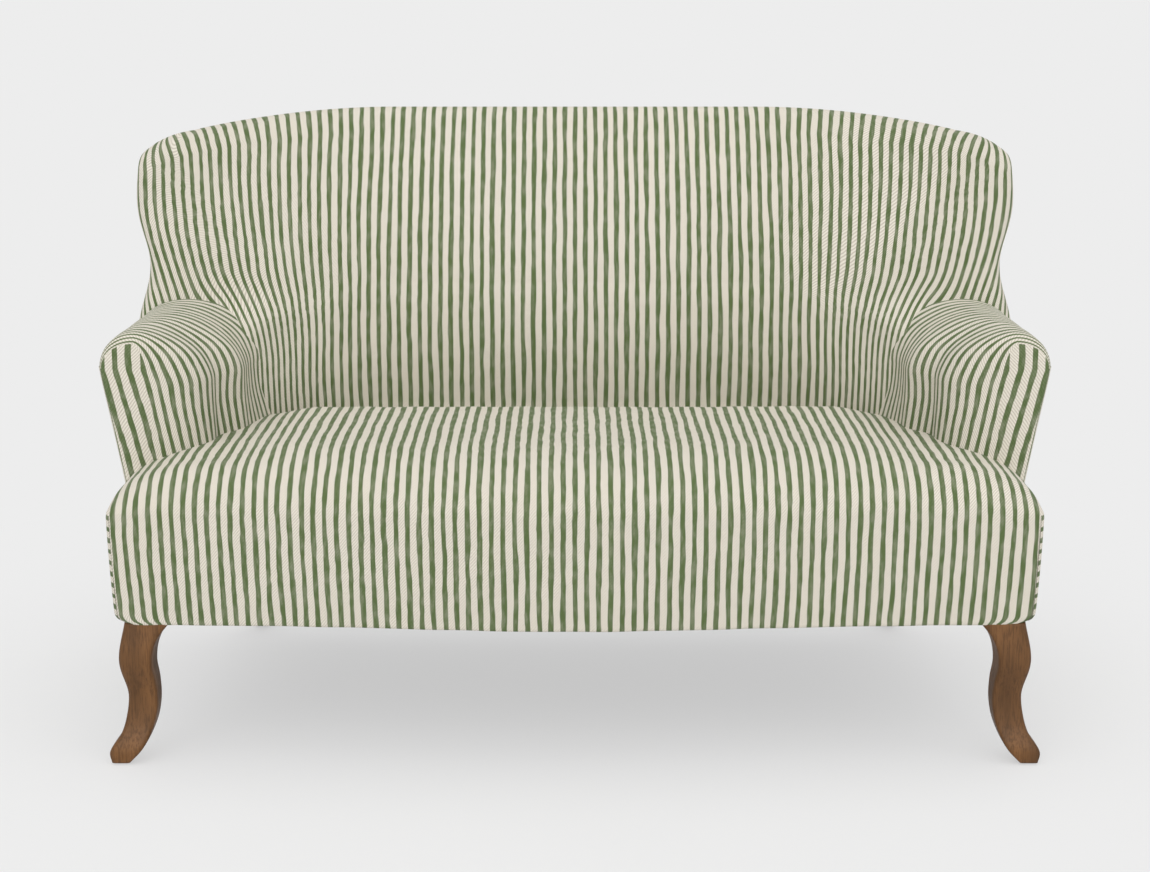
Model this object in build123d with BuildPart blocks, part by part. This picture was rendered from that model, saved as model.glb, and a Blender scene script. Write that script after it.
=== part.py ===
from build123d import *
import os
from math import cos, pi, radians, sin, sqrt

# High back settee: a hardwood frame on four screwed-in legs, zigzag seat springs, webbed back,
# foam over the springs and webbing, and tight striped covers.
#
# Frame: +X to the right as seen from the front, +Y to the back, +Z up, millimetres.
# The origin lies on the floor, at the middle of the width and of the depth.
# A "depth" is measured backwards from the middle of the seat's front.
# side is -1 for the left end and +1 for the right end, as seen from the front.

# ---------------------------------------------------------------- overall sizes
HALF_DEPTH = 391.0            # from the origin to the foremost point of the seat
SEAT_HALF = 710.0             # half the width of the seat's front block
FRAME_BOTTOM = 225.0          # underside of the upholstered base
SEAT_TOP = 490.0              # top of the seat above its front roll
BACK_TOP = 985.0              # top of the back at the middle
FRONT_BOW = 35.0              # how far the seat's front bows out at the middle
FRONT_BULGE = 8.0             # how far the stuffed front swells past its middle line

# ---------------------------------------------------------------- layers
COVER = 1.5                   # covering cloth
CLEAR = 0.5                   # between a cover and what it lies on
SKIN = COVER + CLEAR          # from the outer shape to the stuffing
SHEET = 1.0                   # hessian and dust cloth
TOUCH = 0.3                   # between stuffing and what carries it
BOARD = 28.0                  # thickness of the frame's rails
RAIL_HEIGHT = 102.0           # height of the base rails

# ---------------------------------------------------------------- seat
FRONT_ROLL_DEPTH = 158.0      # from the seat's foremost point to the top of its roll
ROLL_CENTRE_Z = 400.0         # where the front and end rolls start
END_ROLL = 150.0              # width of the roll at the seat's ends
END_DROP = 10.0               # how much lower the seat is over the end rolls
BOTTOM_CORNER = 22.0          # rounding of the lower corners
FRONT_PAD = 22.0              # stuffing before the front rail
SEAT_GAP = 6.0                # between the seat and the covers of the arms and back
SPRINGS = 9
SPRING_PITCH = 120.0
SPRING_WIRE = 1.9             # wire radius
SPRING_BEND = 14.0            # radius of the zigzag's turns
SPRING_HALF_WIDTH = 24.0
CLIP_WALL = 1.2
CLIP_LENGTH = 22.0            # length of wire that a clip is made for
CLIP_END = 2.0                # how far a clip stops short of each end of that wire
SIDE_RAIL_INSET = 22.0        # from the cover at the base to the side rail
SIDE_RAIL_THICKNESS = 38.0
STRETCHER_STEP = 34.0         # how much lower the stretcher is than the rails, under the springs
CORNER_BLOCK = 70.0
CORNER_BLOCK_LIFT = 10.0      # from the rails' underside to the corner blocks
CORNER_BLOCK_STEP = 24.0      # how much less high they are than the rails
DOWEL_RADIUS = 5.0
DOWEL_LENGTH = 50.0
DOWEL_SHIFT = 10.0            # half the distance between an arm post's dowels
DUST_EDGE = 14.0              # from the outer face to the dust cloth's edge
DUST_FRONT_EDGE = 8.0

# ---------------------------------------------------------------- back
BACK_BASE_DEPTH = 537.0       # inner face of the back at seat level
CORNER_X = 330.0              # where the flat of the back ends and the corner starts
CORNER_RADIUS = 215.0         # inner corner at seat level
CORNER_FLARE = 340.0          # how much that radius grows up to the wings
REAR_BASE_DEPTH = 710.0       # outer face of the back at the base
REAR_RAKE = 47.0              # how far it leans back up to the top
LUMBAR = 11.0                 # swell of the back above the seat
RECLINE = 171.0               # how far the inner face leans back up to the top
WING_DROP = 73.0              # how much lower the top is at the wings' corners
TOP_ROLL = 38.0               # rounding of the top edge
CREST_COVERING = 36.0         # stuffing over the crest rail
CREST_HEIGHT = 55.0
CREST_THICKNESS = 46.0
CREST_THINNING = 20.0         # how much thinner the crest rail is at its ends, in the wings
POST_ANGLE = 42.0             # where the rear posts stand in the corners
BACK_STUFFING = 38.5          # least thickness of the stuffing, at seat level
CREST_INSET = 8.0             # from the outer face to the crest rail
POST_WIDTH = 45.0
POST_DEPTH = 48.0
POST_SPLAY = 18.0             # how far a rear post's head stands outside its foot
POST_LEAN = 22.0              # and how far behind it
POST_STEP = 30.0              # from the low back rail's front to the rear posts
LOW_RAIL_THICKNESS = 30.0
LOW_RAIL_HEIGHT = 50.0
LOW_RAIL_LIFT = 6.0           # from the seat's stuffing to the low back rail
BACK_RAIL_GAP = 13.0          # between each end of the back rail and the side rail
UPRIGHT = 28.0                # thickness of the two uprights behind the back
UPRIGHT_X = 190.0             # and their place
STRAPS = 8
STRAP_PITCH = 80.0
STRAP_WIDTH = 50.0
COVER_EDGE = 22.0             # how far the inside back's cover comes down behind the top edge
BACK_FOOT_Z = 360.0           # lower edge of the back's and arms' stuffing

# ---------------------------------------------------------------- arms and wings
ARM_FRONT = 180.0             # depth of the arm's facing
ARM_LEVEL = 570.0             # where the arm's rounded top starts
ARM_RISE_FRONT = 88.0         # height of that rounded top at the facing
ARM_RISE_REAR = 98.0          # and where it meets the wing
ARM_TOP_FRONT_X = 694.0       # middle of the arm's top at the facing
ARM_TOP_SHARE = 0.65          # where the arm's top lies between its faces in the corner of the back
ARM_TOP_REAR_X = 660.0        # and where it meets the wing
ARM_OUTER_X = 747.0           # outermost line of the arm
BASE_OUTER_X = 688.0          # outer face of the base under the arm
ARM_CORNER = 75.0             # rounding from the facing into the inside of the arm
FACING_PAD = 8.0
ARM_STUFFING = 42.0           # thickness of the stuffing inside the arm
ARM_RAIL_TOP = 628.0
ARM_RAIL_HEIGHT = 36.0
ARM_RAIL_LIP = 18.0           # from the outer face to the arm rail
ARM_RAIL_END = 50.0           # width of the arm rail's rear end
ARM_POST_THICKNESS = 30.0
ARM_POST_INSET = 8.0          # from the outer face to the arm post
ARM_PANEL_RISE = 28.0         # how far the outside arm reaches over the start of the rounded top
WING_FRONT = 455.0            # depth of the wing's front edge at the arm
WING_LEAN = 0.19              # how far that edge leans back for each unit of height
WING_OUTER_X = 736.0
WING_INNER_X = 565.0          # inner end of the front edge at the arm
WING_SPREAD = 0.5             # how far that end moves outwards for each unit of height
WING_TOP = 914.0              # top of the wing at its front edge
WING_POST = 26.0              # thickness of a wing's upright
SLACK = 2.0                   # extra room between covers and the stuffing of wings and facings
WING_ROLL = 22.8              # rounding over the wing's top

# ---------------------------------------------------------------- legs
LEG_DEPTH = 72.0              # middle of the front legs' top
LEG_X = 655.0
REAR_LEG_X = 605.5
REAR_LEG_DEPTH = 632.0
REAR_LEG_RAKE = 123.0         # how far the rear feet stand behind their tops
REAR_LEG_TOP = 50.0
REAR_FOOT = 30.0
FRONT_FOOT_X = 708.0          # middles of the glides
FRONT_FOOT_DEPTH = 41.0
REAR_FOOT_X = 596.0
GLIDE_HEIGHT = 3.0
GLIDE_RADIUS = 9.0
PIN_RADIUS = 1.25
PIN_LENGTH = 12.0
BOLT_RADIUS = 4.0
BOLT_LENGTH = 80.0
INSERT_RADIUS = 6.5
INSERT_LENGTH = 18.0
BORE_CLEARANCE = 0.15
BORE_END = 0.5                # how much deeper a bore is than what stands in it, at each end
PIN_FIT = 0.1

# ---------------------------------------------------------------- worked out from them
FRONT_Y = FRONT_BULGE - HALF_DEPTH
RAIL_BOTTOM = FRAME_BOTTOM + SHEET + 1.0
RAIL_TOP = RAIL_BOTTOM + RAIL_HEIGHT
LEG_TOP = FRAME_BOTTOM + 0.8
CLIP_RADIUS = SPRING_WIRE + BORE_CLEARANCE + CLIP_WALL
SPRING_Z = RAIL_TOP + CLIP_RADIUS
HESSIAN_Z = SPRING_Z + CLIP_RADIUS + TOUCH
FOAM_Z = HESSIAN_Z + SHEET + TOUCH
CORNER_DEPTH = BACK_BASE_DEPTH - CORNER_RADIUS
SIDE_RAIL_OUTER = BASE_OUTER_X - SIDE_RAIL_INSET
SIDE_RAIL_INNER = SIDE_RAIL_OUTER - SIDE_RAIL_THICKNESS
SEAT_BLOCK_REAR = ARM_FRONT - SKIN
END_CENTRE_X = SEAT_HALF - END_ROLL
LOW_RAIL_FRONT = BACK_BASE_DEPTH + BACK_STUFFING + SHEET + COVER + 3 * TOUCH
POST_FRONT = LOW_RAIL_FRONT + POST_STEP
BACK_RAIL_FRONT = POST_FRONT + POST_DEPTH
REAR_POST_REAR = BACK_RAIL_FRONT - CREST_INSET
LOW_RAIL_BOTTOM = FOAM_Z + LOW_RAIL_LIFT
LOW_RAIL_TOP = LOW_RAIL_BOTTOM + LOW_RAIL_HEIGHT
ARM_BOARD_FRONT = ARM_FRONT + SKIN + FACING_PAD + TOUCH
ARM_POST_REAR = ARM_BOARD_FRONT + ARM_POST_THICKNESS
ARM_RAIL_BOTTOM = ARM_RAIL_TOP - ARM_RAIL_HEIGHT
ARM_PANEL_TOP = ARM_LEVEL + ARM_PANEL_RISE
ARM_DEPTHS = [ARM_BOARD_FRONT + step for step in (0.0, 10.0, 25.0, 45.0, 68.0, 100.0)]
CORNER_ANGLES = [87.0, 79.0, 70.0, 60.0]
BACK_ANGLES = [51.0, 42.0, 27.0, 13.0]
SEAM_ANGLE = 0.1              # between the back's stuffing and that of the arms and wings
BACK_END = BACK_ANGLES[0]
CREST_END = BACK_END + 5.0
PANEL_SEAM = POST_ANGLE       # where the outside back meets the outside arms and wings
SIDE_SEAM = PANEL_SEAM + SEAM_ANGLE
PANEL_ANGLES = [SIDE_SEAM, 46.0, BACK_END + SEAM_ANGLE, *reversed(CORNER_ANGLES)]
WING_FOOT = ARM_LEVEL + ARM_RISE_REAR + TOUCH
REAR_FOOT_DEPTH = REAR_LEG_DEPTH + REAR_LEG_RAKE
FOOT_Z = GLIDE_HEIGHT + PIN_FIT
INSERT_TOP = LEG_TOP - TOUCH
DUST_Z = RAIL_BOTTOM - SHEET - 0.1

os.makedirs("parts", exist_ok=True)


# ================================================================ shapes
def at(depth):
    """Y of a depth behind the middle of the seat's front."""
    return FRONT_Y + depth


def keep(piece, name):
    """Label a finished sub-part and write its file."""
    piece.part.label = name
    export_step(piece.part, f"parts/{name}.step")


def smooth(value):
    """Ease from 0 to 1."""
    value = min(max(value, 0.0), 1.0)
    return value * value * (3.0 - 2.0 * value)


def bow(x):
    """Depth of the seat's front line at x: a bell, foremost at the middle."""
    return FRONT_BOW * smooth(abs(x) / SEAT_HALF)


def back_recline(z):
    """How far the back's inner face lies behind its foot at height z."""
    swell = -LUMBAR * sin(pi * min(max((z - 477.0) / 210.0, 0.0), 1.0))
    rise = max(z - 650.0, 0.0) / (BACK_TOP - 650.0)
    return swell + RECLINE * rise**1.55


def inner_reach(angle, z):
    """Reach from the corner's centre to the inner face, at an angle from straight back."""
    radius = CORNER_RADIUS + CORNER_FLARE * smooth((z - 500.0) / 400.0)
    shift = radius - CORNER_RADIUS - back_recline(z)
    turn = radians(angle)
    return sqrt(radius**2 - (shift * sin(turn)) ** 2) - shift * cos(turn)


def outer_x(z):
    """Half the width of the outer face at height z."""
    flare = min((z - FRAME_BOTTOM) / (ARM_LEVEL + 40.0 - FRAME_BOTTOM), 1.0)
    arm = BASE_OUTER_X + (ARM_OUTER_X - BASE_OUTER_X) * flare**1.3
    return arm + (WING_OUTER_X - ARM_OUTER_X) * smooth((z - ARM_LEVEL) / 80.0)


def rear_depth(z):
    """Depth of the outer face at height z."""
    return REAR_BASE_DEPTH + REAR_RAKE * (z - FRAME_BOTTOM) / (BACK_TOP - FRAME_BOTTOM)


def outer_reach(angle, z):
    """Reach from the corner's centre to the outer face: squarish at the base, rounder on top."""
    power = 10.0 - 7.25 * min((z - FRAME_BOTTOM) / (BACK_TOP - FRAME_BOTTOM), 1.0)
    across = abs(sin(radians(angle))) / (outer_x(z) - CORNER_X)
    along = abs(cos(radians(angle))) / (rear_depth(z) - CORNER_DEPTH)
    return (across**power + along**power) ** (-1.0 / power)


def back_top(x):
    """Height of the back's top edge at x."""
    fall = max(abs(x) - 400.0, 0.0) / 345.0
    return BACK_TOP - WING_DROP * fall**2.2


def arm_inner_x(depth):
    """Inner face of the arm at a depth: rounded off at the facing, then toeing in."""
    meet = ARM_FRONT + ARM_CORNER
    start = CORNER_X + CORNER_RADIUS + 35.0
    if depth < meet:
        inward = min(meet - depth, ARM_CORNER)
        return start + ARM_CORNER - sqrt(ARM_CORNER**2 - inward**2)
    return start - 35.0 * smooth((depth - meet) / (CORNER_DEPTH - meet))


def arm_top_x(depth):
    """Middle of the arm's top at a depth."""
    share = (depth - ARM_FRONT) / (WING_FRONT - ARM_FRONT)
    return ARM_TOP_FRONT_X + (ARM_TOP_REAR_X - ARM_TOP_FRONT_X) * share


def arm_rise(depth):
    """Height of the arm's rounded top at a depth."""
    share = min((depth - ARM_FRONT) / (WING_FRONT - ARM_FRONT), 1.0)
    return ARM_RISE_FRONT + (ARM_RISE_REAR - ARM_RISE_FRONT) * share


def dome(inner, top, outer, rise, inset, steps=6):
    """The arm's rounded top, from its inner to its outer side, as (reach, z) points."""
    points = []
    for step in range(steps + 1):
        turn = pi / 2 * step / steps
        reach = top - (top - inner - inset) * cos(turn) ** 1.14
        points.append((reach, ARM_LEVEL + (rise - inset) * sin(turn) ** 1.14))
    for step in range(1, steps + 1):
        turn = pi / 2 * step / steps
        reach = top + (outer - top - inset) * sin(turn)
        points.append((reach, ARM_LEVEL + 30.0 + (rise - 30.0 - inset) * cos(turn)))
    return points


def ray(side, angle, depth=CORNER_DEPTH):
    """Upright plane through the corner's centre, its x pointing outwards at the angle."""
    turn = radians(angle)
    direction = Vector(side * sin(turn), cos(turn), 0)
    origin = Vector(side * CORNER_X, at(depth), 0)
    return Plane(origin=origin, x_dir=direction, z_dir=direction.cross(Vector(0, 0, 1)))


def upright(x):
    """Upright plane across the back at x, its x pointing backwards from the corner's centre."""
    origin = Vector(x, at(CORNER_DEPTH), 0)
    return Plane(origin=origin, x_dir=(0, 1, 0), z_dir=(1, 0, 0))


def face_on(plane, points):
    """A face bounded by straight lines through the points."""
    with BuildSketch(plane) as sketch:
        with BuildLine():
            Polyline(*points, close=True)
        make_face()
    return sketch.sketch


def back_stations(angles):
    """Planes and angles right round the back, from the left corner to the right one."""
    left = [(ray(-1, angle), angle) for angle in angles]
    middle = [(upright(x), 0.0) for x in (-CORNER_X, 0.0, CORNER_X)]
    right = [(ray(1, angle), angle) for angle in reversed(angles)]
    return left + middle + right


def station_x(plane, angle, reach):
    """Distance from the middle of the settee of a point at this reach."""
    return abs(plane.origin.X) + reach * sin(radians(angle))


def around_back(outline, beyond=None, angles=BACK_ANGLES):
    """A solid right round the back, from an outline in each upright plane, at the angles and beyond."""
    stations = back_stations(angles)
    if beyond:
        stations = [(ray(-1, beyond), beyond)] + stations + [(ray(1, beyond), beyond)]
    with BuildPart() as piece:
        loft(sections=[face_on(plane, outline(plane, angle)) for plane, angle in stations], ruled=True)
    return piece


def top_at(plane, angle):
    """Height of the top edge in this plane."""
    return back_top(station_x(plane, angle, inner_reach(angle, 900.0) + 40.0))


def inner_line(angle, top, inset, low=BACK_FOOT_Z, steps=7):
    """Inner face from its foot up into the top roll, as (reach, z) points."""
    points = []
    roll = TOP_ROLL * (1.0 - 0.4 * angle / 60.0)
    spring = top + inset - roll
    for step in range(steps + 1):
        z = low + (spring - low) * step / steps
        points.append((inner_reach(angle, z) + inset, z))
    foot = points[-1][0]
    for turn in (25.0, 50.0, 72.0, 90.0):
        reach = foot + (roll - inset) * 1.05 * (1.0 - cos(radians(turn)))
        points.append((reach, spring + (roll - inset) * sin(radians(turn))))
    return points


def crest_reach(angle, top):
    """Front and rear reach of the crest rail."""
    rear = outer_reach(angle, top - CREST_COVERING) - CREST_INSET
    thin = CREST_THINNING * min(max(angle - POST_ANGLE, 0.0) / (BACK_END - POST_ANGLE), 1.0)
    return rear - CREST_THICKNESS + thin, rear


def stuffing_back(angle, top, layers, low):
    """Rear face of the back's stuffing, up to the crest rail's top, moved back by layers."""
    foot = CORNER_RADIUS + BACK_STUFFING + layers
    crest = crest_reach(angle, top)[0] - 3 * TOUCH - SHEET - COVER + layers
    high = top - CREST_COVERING
    return [(foot, low), (foot, LOW_RAIL_TOP), (crest, high - CREST_HEIGHT), (crest, high)]


# ================================================================ base frame
def front_line(shift, half):
    """Bowed line across the front, from left to right, moved back by shift."""
    ends = [(-half, at(bow(half) + shift)), (0, at(shift)), (half, at(bow(half) + shift))]
    return Spline(*ends, tangents=[(1, 0), (1, 0)])


with BuildPart() as front_rail:
    with BuildSketch(Plane.XY.offset(RAIL_BOTTOM)):
        with BuildLine():
            front = front_line(FRONT_PAD, SIDE_RAIL_OUTER)
            back = front_line(FRONT_PAD + BOARD, SIDE_RAIL_OUTER)
            Line(front @ 0, back @ 0)
            Line(front @ 1, back @ 1)
        make_face()
    extrude(amount=RAIL_HEIGHT)
    with Locations(*[(s * LEG_X, at(LEG_DEPTH), RAIL_BOTTOM) for s in (-1, 1)]):
        Cylinder(BOLT_RADIUS + BORE_CLEARANCE, BOLT_LENGTH + 2 * BORE_END, mode=Mode.SUBTRACT)
keep(front_rail, "front_rail")

SIDE_RAIL_FRONT = bow(SIDE_RAIL_OUTER) + FRONT_PAD + BOARD


def side_rail(side):
    """Base rail under the arm, from the front rail to the rear post."""
    length = BACK_RAIL_FRONT - SIDE_RAIL_FRONT
    middle = (side * (SIDE_RAIL_INNER + SIDE_RAIL_OUTER) / 2, at(SIDE_RAIL_FRONT + length / 2))
    with BuildPart() as rail:
        with BuildSketch(Plane.XY.offset(RAIL_BOTTOM)):
            with Locations(middle):
                Rectangle(SIDE_RAIL_OUTER - SIDE_RAIL_INNER, length)
        extrude(amount=RAIL_HEIGHT)
        with Locations(*dowel_places(side)):
            Cylinder(DOWEL_RADIUS + BORE_CLEARANCE, DOWEL_LENGTH + 2 * BORE_END, mode=Mode.SUBTRACT)
    return rail


def dowel_places(side):
    """Middles of the two dowels that hold an arm post on its side rail."""
    x = side * (SIDE_RAIL_INNER + SIDE_RAIL_OUTER) / 2
    y = at((ARM_BOARD_FRONT + ARM_POST_REAR) / 2)
    return [(x + shift, y, RAIL_TOP) for shift in (-DOWEL_SHIFT, DOWEL_SHIFT)]


for side, word in ((-1, "left"), (1, "right")):
    keep(side_rail(side), f"{word}_side_rail")

with BuildPart() as back_rail:
    with BuildSketch(Plane.XY.offset(RAIL_BOTTOM)):
        with Locations((0, at(BACK_RAIL_FRONT + BOARD / 2))):
            Rectangle(2 * (SIDE_RAIL_INNER - BACK_RAIL_GAP), BOARD)
    extrude(amount=RAIL_HEIGHT)
keep(back_rail, "back_rail")

with BuildPart() as centre_stretcher:
    with BuildSketch(Plane.XY.offset(RAIL_BOTTOM)):
        start = FRONT_PAD + BOARD + TOUCH
        with Locations((0, at((start + BACK_RAIL_FRONT) / 2))):
            Rectangle(BOARD, BACK_RAIL_FRONT - start)
    extrude(amount=RAIL_HEIGHT - STRETCHER_STEP)
keep(centre_stretcher, "centre_stretcher")

with BuildPart() as corner_blocks:
    with BuildSketch(Plane.XY.offset(RAIL_BOTTOM + CORNER_BLOCK_LIFT)):
        for side in (-1, 1):
            x = side * SIDE_RAIL_INNER
            y = at(SIDE_RAIL_FRONT)
            with BuildLine():
                Polyline((x, y), (x - side * CORNER_BLOCK, y), (x, y + CORNER_BLOCK), close=True)
            make_face()
            x = side * (SIDE_RAIL_INNER - POST_WIDTH)
            y = at(BACK_RAIL_FRONT)
            with BuildLine():
                Polyline((x, y), (x - side * CORNER_BLOCK, y), (x, y - POST_DEPTH), close=True)
            make_face()
    extrude(amount=RAIL_HEIGHT - CORNER_BLOCK_STEP)
keep(corner_blocks, "corner_blocks")


# ================================================================ upper frame
def arm_post(side):
    """Shaped board that stands on the side rail and carries the front of the arm rail."""
    shoulder = BACK_FOOT_Z - 4.0
    levels = [RAIL_TOP, shoulder, ROLL_CENTRE_Z, 500.0, ARM_RAIL_BOTTOM]
    outer = [SIDE_RAIL_OUTER] + [outer_x(z) - ARM_POST_INSET for z in levels[1:]]
    inner = [SIDE_RAIL_INNER] + 4 * [stuffing_x(ARM_BOARD_FRONT) + TOUCH]
    outline = [(side * x, z) for x, z in zip(outer, levels)]
    outline += [(side * x, z) for x, z in zip(reversed(inner), reversed(levels))]
    with BuildPart() as post:
        with BuildSketch(Plane.XZ.offset(-at(ARM_POST_REAR))):
            with BuildLine():
                Polyline(*outline, close=True)
            make_face()
        extrude(amount=ARM_POST_REAR - ARM_BOARD_FRONT)
        with Locations(*dowel_places(side)):
            Cylinder(DOWEL_RADIUS + BORE_CLEARANCE, DOWEL_LENGTH + 2 * BORE_END, mode=Mode.SUBTRACT)
    return post


def stuffing_x(depth):
    """Outer side of the stuffing inside the arm at a depth."""
    return arm_inner_x(depth) + SKIN + ARM_STUFFING


def arm_rail(side):
    """Rail under the arm's top, from over the arm post to the rear post."""
    post_x = SIDE_RAIL_INNER
    top_x = outer_x(ARM_RAIL_BOTTOM) - ARM_RAIL_LIP
    inner = [(stuffing_x(d) + TOUCH, d) for d in ARM_DEPTHS + [CORNER_DEPTH]]
    inner.append((stuffing_x(CORNER_DEPTH) + 8.0, CORNER_DEPTH + 50.0))
    inner += [(post_x, POST_FRONT), (post_x, REAR_POST_REAR)]
    outer = [(post_x + ARM_RAIL_END, REAR_POST_REAR), (top_x - 26.0, 560.0), (top_x, 450.0)]
    outer.append((top_x, ARM_BOARD_FRONT))
    with BuildPart() as rail:
        with BuildSketch(Plane.XY.offset(ARM_RAIL_BOTTOM)):
            with BuildLine():
                Polyline(*[(side * x, at(d)) for x, d in inner + outer], close=True)
            make_face()
        extrude(amount=ARM_RAIL_HEIGHT)
    return rail


def rear_post(side):
    """Upright at the rear corner, from the base to under the crest rail."""
    x = SIDE_RAIL_INNER - POST_WIDTH / 2
    depth = POST_FRONT + POST_DEPTH / 2
    with BuildPart() as post:
        with BuildSketch(Plane.XY.offset(RAIL_BOTTOM)):
            with Locations((side * x, at(depth))):
                Rectangle(POST_WIDTH, POST_DEPTH)
        extrude(amount=ARM_RAIL_TOP - RAIL_BOTTOM)
        with BuildSketch(Plane.XY.offset(ARM_RAIL_TOP)) as foot:
            with Locations((side * x, at(depth))):
                Rectangle(POST_WIDTH, POST_DEPTH)
        with BuildSketch(Plane.XY.offset(REAR_POST_TOP)) as head:
            with Locations((side * (x + POST_SPLAY), at(depth + POST_LEAN))):
                Rectangle(POST_WIDTH, POST_DEPTH)
        loft(sections=[foot.sketch, head.sketch])
        with Locations((side * REAR_LEG_X, at(REAR_LEG_DEPTH), RAIL_BOTTOM)):
            Cylinder(BOLT_RADIUS + BORE_CLEARANCE, BOLT_LENGTH + 2 * BORE_END, mode=Mode.SUBTRACT)
    return post


def crest_outline(plane, angle):
    """Section of the crest rail."""
    top = top_at(plane, angle)
    front, rear = crest_reach(angle, top)
    high = top - CREST_COVERING
    low = high - CREST_HEIGHT
    return [(front, low), (rear, low), (rear, high), (front, high)]


REAR_POST_TOP = top_at(ray(1, POST_ANGLE + 4.0), POST_ANGLE + 4.0) - CREST_COVERING - CREST_HEIGHT - 0.5
crest_rail = around_back(crest_outline, beyond=CREST_END)
keep(crest_rail, "crest_rail")


def wing_post(side):
    """Leaning upright from the arm rail to the end of the crest rail."""
    end = ray(side, CREST_END)
    top = top_at(end, CREST_END) - CREST_COVERING - CREST_HEIGHT - TOUCH
    reach = sum(crest_reach(CREST_END, top_at(end, CREST_END))) / 2
    turn = radians(CREST_END - 0.5)
    x = CORNER_X + reach * sin(turn)
    depth = CORNER_DEPTH + reach * cos(turn)
    with BuildPart() as post:
        with BuildSketch(Plane.XY.offset(ARM_RAIL_TOP)) as foot:
            with Locations((side * (x - 8.0), at(WING_FRONT + 42.0))):
                Rectangle(WING_POST, WING_POST)
        with BuildSketch(Plane.XY.offset(top)) as head:
            with Locations((side * x, at(depth))):
                Rectangle(WING_POST, WING_POST)
        loft()
    return post


with BuildPart() as back_uprights:
    for side in (-1, 1):
        with BuildSketch(Plane.XY.offset(RAIL_TOP)) as foot:
            with Locations((side * UPRIGHT_X, at(BACK_RAIL_FRONT + BOARD / 2))):
                Rectangle(UPRIGHT, UPRIGHT)
        crest_middle = CORNER_DEPTH + sum(crest_reach(0.0, BACK_TOP)) / 2
        with BuildSketch(Plane.XY.offset(BACK_TOP - CREST_COVERING - CREST_HEIGHT)) as head:
            with Locations((side * UPRIGHT_X, at(crest_middle))):
                Rectangle(UPRIGHT, UPRIGHT)
        loft()
keep(back_uprights, "back_uprights")

with BuildPart() as low_back_rail:
    with BuildSketch(Plane.XY.offset(LOW_RAIL_BOTTOM)):
        with Locations((0, at(LOW_RAIL_FRONT + LOW_RAIL_THICKNESS / 2))):
            Rectangle(2 * SIDE_RAIL_INNER, LOW_RAIL_THICKNESS)
    extrude(amount=LOW_RAIL_HEIGHT)
keep(low_back_rail, "low_back_rail")

for side, word in ((-1, "left"), (1, "right")):
    keep(arm_post(side), f"{word}_arm_post")
    keep(arm_rail(side), f"{word}_arm_rail")
    keep(rear_post(side), f"{word}_rear_post")
    keep(wing_post(side), f"{word}_wing_post")

with BuildPart() as frame_dowels:
    with Locations(*(dowel_places(-1) + dowel_places(1))):
        Cylinder(DOWEL_RADIUS, DOWEL_LENGTH)
keep(frame_dowels, "frame_dowels")

# ================================================================ springs and sheets
SPRING_FRONT = FRONT_PAD + BOARD / 2
SPRING_REAR = BACK_RAIL_FRONT + BOARD / 2


def spring_x(index):
    """Place of a seat spring across the settee."""
    return SPRING_PITCH * (index - (SPRINGS - 1) / 2)


def zigzag(x):
    """Path of one zigzag spring, from its front clip to its rear one."""
    front = bow(x) + SPRING_FRONT
    turns = 2 * int((SPRING_REAR - front) / (4 * SPRING_BEND))
    bend = (SPRING_REAR - front) / (2 * turns)
    half = SPRING_HALF_WIDTH - bend
    with BuildLine(Plane.XY.offset(SPRING_Z)) as path:
        Line((x - CLIP_LENGTH / 2, at(front)), (x + half, at(front)))
        for turn in range(turns):
            near = at(front + 2 * bend * turn)
            way = 1 if turn % 2 == 0 else -1
            end = (x + way * half, near + 2 * bend)
            ThreePointArc((x + way * half, near), (x + way * (half + bend), near + bend), end)
            last = way * CLIP_LENGTH / 2 if turn == turns - 1 else way * half
            Line(end, (x - last, near + 2 * bend))
    return path


with BuildPart() as seat_springs:
    for index in range(SPRINGS):
        path = zigzag(spring_x(index))
        with BuildSketch(Plane(origin=path.line @ 0, z_dir=path.line % 0)):
            Circle(SPRING_WIRE)
        sweep(path=path.line)
keep(seat_springs, "seat_springs")

with BuildPart() as spring_clips:
    for index in range(SPRINGS):
        x = spring_x(index)
        for depth in (bow(x) + SPRING_FRONT, SPRING_REAR):
            with BuildSketch(Plane(origin=(x, at(depth), SPRING_Z), z_dir=(1, 0, 0))):
                Circle(CLIP_RADIUS)
                Circle(SPRING_WIRE + BORE_CLEARANCE, mode=Mode.SUBTRACT)
            extrude(amount=CLIP_LENGTH / 2 - CLIP_END, both=True)
keep(spring_clips, "spring_clips")


def seat_plan(rear, side_gap):
    """Outline points of the seat behind its front block, between the arms."""
    right = [(arm_inner_x(d) - side_gap, d) for d in [ARM_FRONT - SKIN] + ARM_DEPTHS]
    for angle in CORNER_ANGLES + BACK_ANGLES:
        reach = CORNER_RADIUS - side_gap
        right.append((CORNER_X + reach * sin(radians(angle)), CORNER_DEPTH + reach * cos(radians(angle))))
    right.append((CORNER_X, rear))
    left = [(-x, d) for x, d in reversed(right)]
    return [(x, at(d)) for x, d in right + left]


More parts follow.
